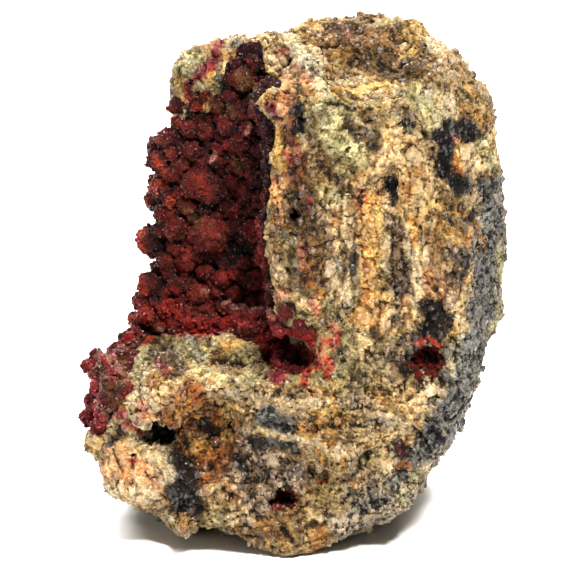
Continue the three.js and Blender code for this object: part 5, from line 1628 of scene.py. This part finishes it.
def crystal_material(name, clearness, roughness=(0.35, 0.25)):
    """Clean cleavage faces, clouded inside. The roughness is how much it varies and its least."""
    material, tree, shader = nodes_of(name)
    place = place_of(tree)
    cloud = add(tree, "TexNoise", {"Vector": place, "Scale": 1 / (0.6 * MM), "Detail": 4.0}).outputs["Fac"]
    share = maths(tree, "MULTIPLY_ADD", attribute(tree, "grain", "Fac"), 0.6, -1.2)
    share = maths(tree, "MULTIPLY_ADD", cloud, 2.9, share, clamp=True)
    colour = mixed(tree, share, attribute(tree, "dark"), attribute(tree, "light"))
    tree.links.new(colour, shader.inputs["Base Color"])
    height, chance = facets(tree, place, 0.16)
    steps, _ = facets(tree, place_of(tree, wander=0.2, size=0.6), 0.42)
    tree.links.new(maths(tree, "MULTIPLY_ADD", chance, *roughness), shader.inputs["Roughness"])
    uneven(tree, shader, maths(tree, "ADD", height, steps), 0.8)
    shader.inputs["Specular IOR Level"].default_value = 0.5
    see_through(shader, clearness, (1.0, 0.7, 0.4), 0.8)
    return material


def turned(degrees):
    return np.array(Euler([math.radians(a) for a in degrees]).to_matrix(), np.float32)


def large_crystals():
    """Each large crystal is one block with smaller ones grown into its sides."""
    solids = bmesh.new()
    light, dark, chances = [], [], []
    at = seats([place for _, place, *_ in CRYSTALS], [sunk for _, _, sunk, _, _ in CRYSTALS])
    cut = np.concatenate([BLOCK_CORNERS * (1 - 2 * CRYSTAL_CUT * axis) for axis in np.eye(3)])
    dice = np.random.default_rng(23)
    for centre, (mineral, _, _, size, turn) in zip(at, CRYSTALS):
        blocks = [(np.zeros(3), CRYSTAL_CORE)]
        for _ in range(CRYSTAL_SIDE_BLOCKS):
            off = dice.uniform(-SIDE_BLOCK_OFF, SIDE_BLOCK_OFF, 3)
            blocks.append((off, dice.uniform(*SIDE_BLOCK_SIZES)))
        for off, share in blocks:
            half = np.array(size) / 2 * share * dice.uniform(*BLOCK_SIZES, 3)
            axes = turned(turn) @ turned(dice.uniform(-BLOCK_TURN, BLOCK_TURN, 3))
            verts = centre + (cut * half + off * np.array(size) / 2) @ axes.T
            verts = verts + dice.uniform(-BLOCK_ROUGH, BLOCK_ROUGH, verts.shape)
            hull = [solids.verts.new(v) for v in verts * MM]
            bmesh.ops.convex_hull(solids, input=hull)
            light += [linear(MINERALS[mineral][0])] * len(hull)
            dark += [linear(MINERALS[mineral][1])] * len(hull)
            chances += [dice.uniform(*BLOCK_CHANCES)] * len(hull)
    mesh = bpy.data.meshes.new("crystals")
    solids.to_mesh(mesh)
    solids.free()
    piece = bpy.data.objects.new("crystals", mesh)
    bpy.context.scene.collection.objects.link(piece)
    painted(piece, (np.array(light), np.array(dark)))
    keep(piece, "grain", np.array(chances))
    piece.data.materials.append(crystal_material("cleavage", 0.3))
    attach(piece, BODY)


def each_corner(values):
    """The values of blocks, once for each of their corners."""
    return np.repeat(values, len(BLOCK_CORNERS), axis=0)


def blocks_mesh(name, at, axes, corners):
    """Many small blocks: their middles, their half axes as columns, and their corners along those."""
    count = len(BLOCK_CORNERS)
    corners = np.broadcast_to(corners, (len(at), count, 3))
    p = at[:, None, :] + np.einsum("nij,nkj->nki", axes, corners)
    faces = (np.arange(len(at))[:, None, None] * count + np.array(BLOCK_SIDES)).reshape(-1, 4)
    return mesh_from(name, p.reshape(-1, 3).astype(np.float32), faces)


def spots_on(piece, count, seed, wanted):
    """Places spread evenly over the faces of a piece that wanted() picks, how they face, and the dice."""
    mesh = piece.data
    centres, facing = (np.empty(len(mesh.polygons) * 3, np.float32) for _ in range(2))
    area = np.empty(len(mesh.polygons), np.float32)
    mesh.polygons.foreach_get("center", centres)
    mesh.polygons.foreach_get("normal", facing)
    mesh.polygons.foreach_get("area", area)
    centres, facing = centres.reshape(-1, 3) / MM, facing.reshape(-1, 3)
    area = area * wanted(centres, facing)
    dice = np.random.default_rng(seed)
    chosen = dice.choice(len(area), count, p=area / area.sum())
    return centres[chosen], facing[chosen], dice


def sparkles(crust_piece):
    """Tiny crystal tips all over the crust, whose faces catch the light."""
    at, facing, dice = spots_on(
        crust_piece, SPARKLE_COUNT, 31, lambda p, facing: facing[:, 2] > SPARKLE_FACING
    )
    size = between(SPARKLE_SIZES, dice.random(SPARKLE_COUNT) ** 2)
    axes, _ = np.linalg.qr(dice.normal(size=(SPARKLE_COUNT, 3, 3)))
    axes = axes * (size[:, None] * dice.uniform(*SPARKLE_SHAPES, (SPARKLE_COUNT, 3)))[:, None, :]
    at_tips = at + facing * size[:, None] * SPARKLE_STANDS
    piece = blocks_mesh("roselite_sparkles", at_tips, axes, BLOCK_CORNERS)
    painted(piece, [each_corner(colour) * SPARKLE_BRIGHT for colour in crust_colours(at, facing)])
    keep(piece, "grain", each_corner(dice.random(SPARKLE_COUNT)))
    piece.data.materials.append(crystal_material("roselite_tips", 0.0, (0.1, 0.18)))
    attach(piece, BODY)


def crystal_grains(rock_piece):
    """Small crystals all over the rock, each a leaning block half sunk in it."""
    base, room, away = GRAIN_CLEAR
    at, facing, dice = spots_on(
        rock_piece, GRAIN_COUNT, 11,
        lambda p, facing: (p[:, 2] > base) & ((crust_room(p) > room) | (facing @ TO_VIEWER < away)),
    )
    size = between(GRAIN_SIZES, dice.random(GRAIN_COUNT) ** 3)
    lengths = size[:, None] * dice.uniform(*GRAIN_SHAPES, (GRAIN_COUNT, 3))
    spin = dice.normal(size=(GRAIN_COUNT, 3, 3))
    spin[:, 2, 2] += dice.choice((-GRAIN_UPRIGHT, GRAIN_UPRIGHT), GRAIN_COUNT)
    long_way = spin[:, :, 2] / np.linalg.norm(spin[:, :, 2], axis=1, keepdims=True)
    side = np.cross(long_way, spin[:, :, 0])
    side /= np.linalg.norm(side, axis=1, keepdims=True)
    axes = np.stack([side, np.cross(long_way, side), long_way], axis=2) * lengths[:, None, :]
    axes[:, :, 0] += axes[:, :, 2] * dice.uniform(-GRAIN_SHEAR, GRAIN_SHEAR, (GRAIN_COUNT, 1))
    rough = dice.uniform(-GRAIN_ROUGH, GRAIN_ROUGH, (GRAIN_COUNT, *BLOCK_CORNERS.shape)) * [1, 1, 2]
    corners = BLOCK_CORNERS + rough
    piece = blocks_mesh("crystal_grains", at - facing * size[:, None] * GRAIN_SUNK, axes, corners)
    painted(piece, [each_corner(colour) for colour in mineral_colours(at, facing)])
    keep(piece, "grain", each_corner(dice.random(GRAIN_COUNT)))
    piece.data.materials.append(crystal_material("crystal_grains", 0.2))
    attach(piece, BODY)


# ---- Stage -------------------------------------------------------------------------------------------

PICTURE_WIDTH = 48.9  # what the picture's width holds at the object, in mm
PICTURE_MIDDLE = (-0.45, 19.5)  # on the sheet
LENS, SENSOR = 500, 36  # a long lens, so that the lines of sight are nearly parallel
SEES_TO = 10  # how far the camera sees, in metres
FLOOR_WIDTH = 6
SKY = 0.14  # brightness of the white all around
LIT_HEIGHT = 0.02  # what the lights are aimed at, in metres above the floor
WHITE = (1, 1, 1)
# Azimuth (0 is in front of the specimen, and 90 on its right), elevation, distance and size in metres,
# watts, and colour.
LIGHTS = {
    "key": (18, 52, 0.5, 0.1, 8.2, (1.0, 0.985, 0.95)),
    "top_left": (-38, 68, 0.45, 0.12, 1.4, WHITE),
    "rim_left": (-150, 42, 0.4, 0.3, 3.8, WHITE),
    "rim_right": (140, 60, 0.4, 0.25, 2.0, WHITE),
    "fill_left": (-75, 5, 0.4, 0.2, 0.45, WHITE),
}


def camera():
    data = bpy.data.cameras.new("camera")
    data.lens = LENS
    data.sensor_width = SENSOR
    data.clip_end = SEES_TO
    distance = PICTURE_WIDTH * LENS / data.sensor_width
    aim = point_at(*PICTURE_MIDDLE, RIM_DEPTH)
    eye = aim + TO_VIEWER * distance
    view = bpy.data.objects.new("camera", data)
    view.location = Vector(eye.tolist()) * MM
    view.rotation_euler = Vector((-TO_VIEWER).tolist()).to_track_quat("-Z", "Y").to_euler()
    bpy.context.scene.collection.objects.link(view)
    bpy.context.scene.camera = view


def area_light(name, azimuth, elevation, distance, size, watts, colour):
    """A soft light on the specimen's middle."""
    a, e = math.radians(azimuth), math.radians(elevation)
    way = Vector((math.sin(a) * math.cos(e), -math.cos(a) * math.cos(e), math.sin(e)))
    data = bpy.data.lights.new(name, "AREA")
    data.shape = "DISK"
    data.size = size
    data.energy = watts
    data.color = colour
    light = bpy.data.objects.new(name, data)
    light.location = way * distance + Vector((0, 0, LIT_HEIGHT))
    light.rotation_euler = way.to_track_quat("Z", "Y").to_euler()
    bpy.context.scene.collection.objects.link(light)


def stage():
    bpy.ops.mesh.primitive_plane_add(size=FLOOR_WIDTH)
    floor = bpy.context.object
    floor.name = "floor"
    floor.data.materials.append(floor_material())
    world = bpy.data.worlds.new("studio")
    world.use_nodes = True
    sky = world.node_tree.nodes["Background"].inputs
    sky["Color"].default_value = (*WHITE, 1)
    sky["Strength"].default_value = SKY
    bpy.context.scene.world = world
    for name, light in LIGHTS.items():
        area_light(name, *light)
    bpy.context.scene.view_settings.view_transform = "Standard"


camera()
stage()
ROCK = host_rock()
ROSELITE = roselite_material()
CRUST = hollow_crust()
for vug in VUGS:
    vug_lining(vug)
large_crystals()
crystal_grains(ROCK)
sparkles(CRUST)
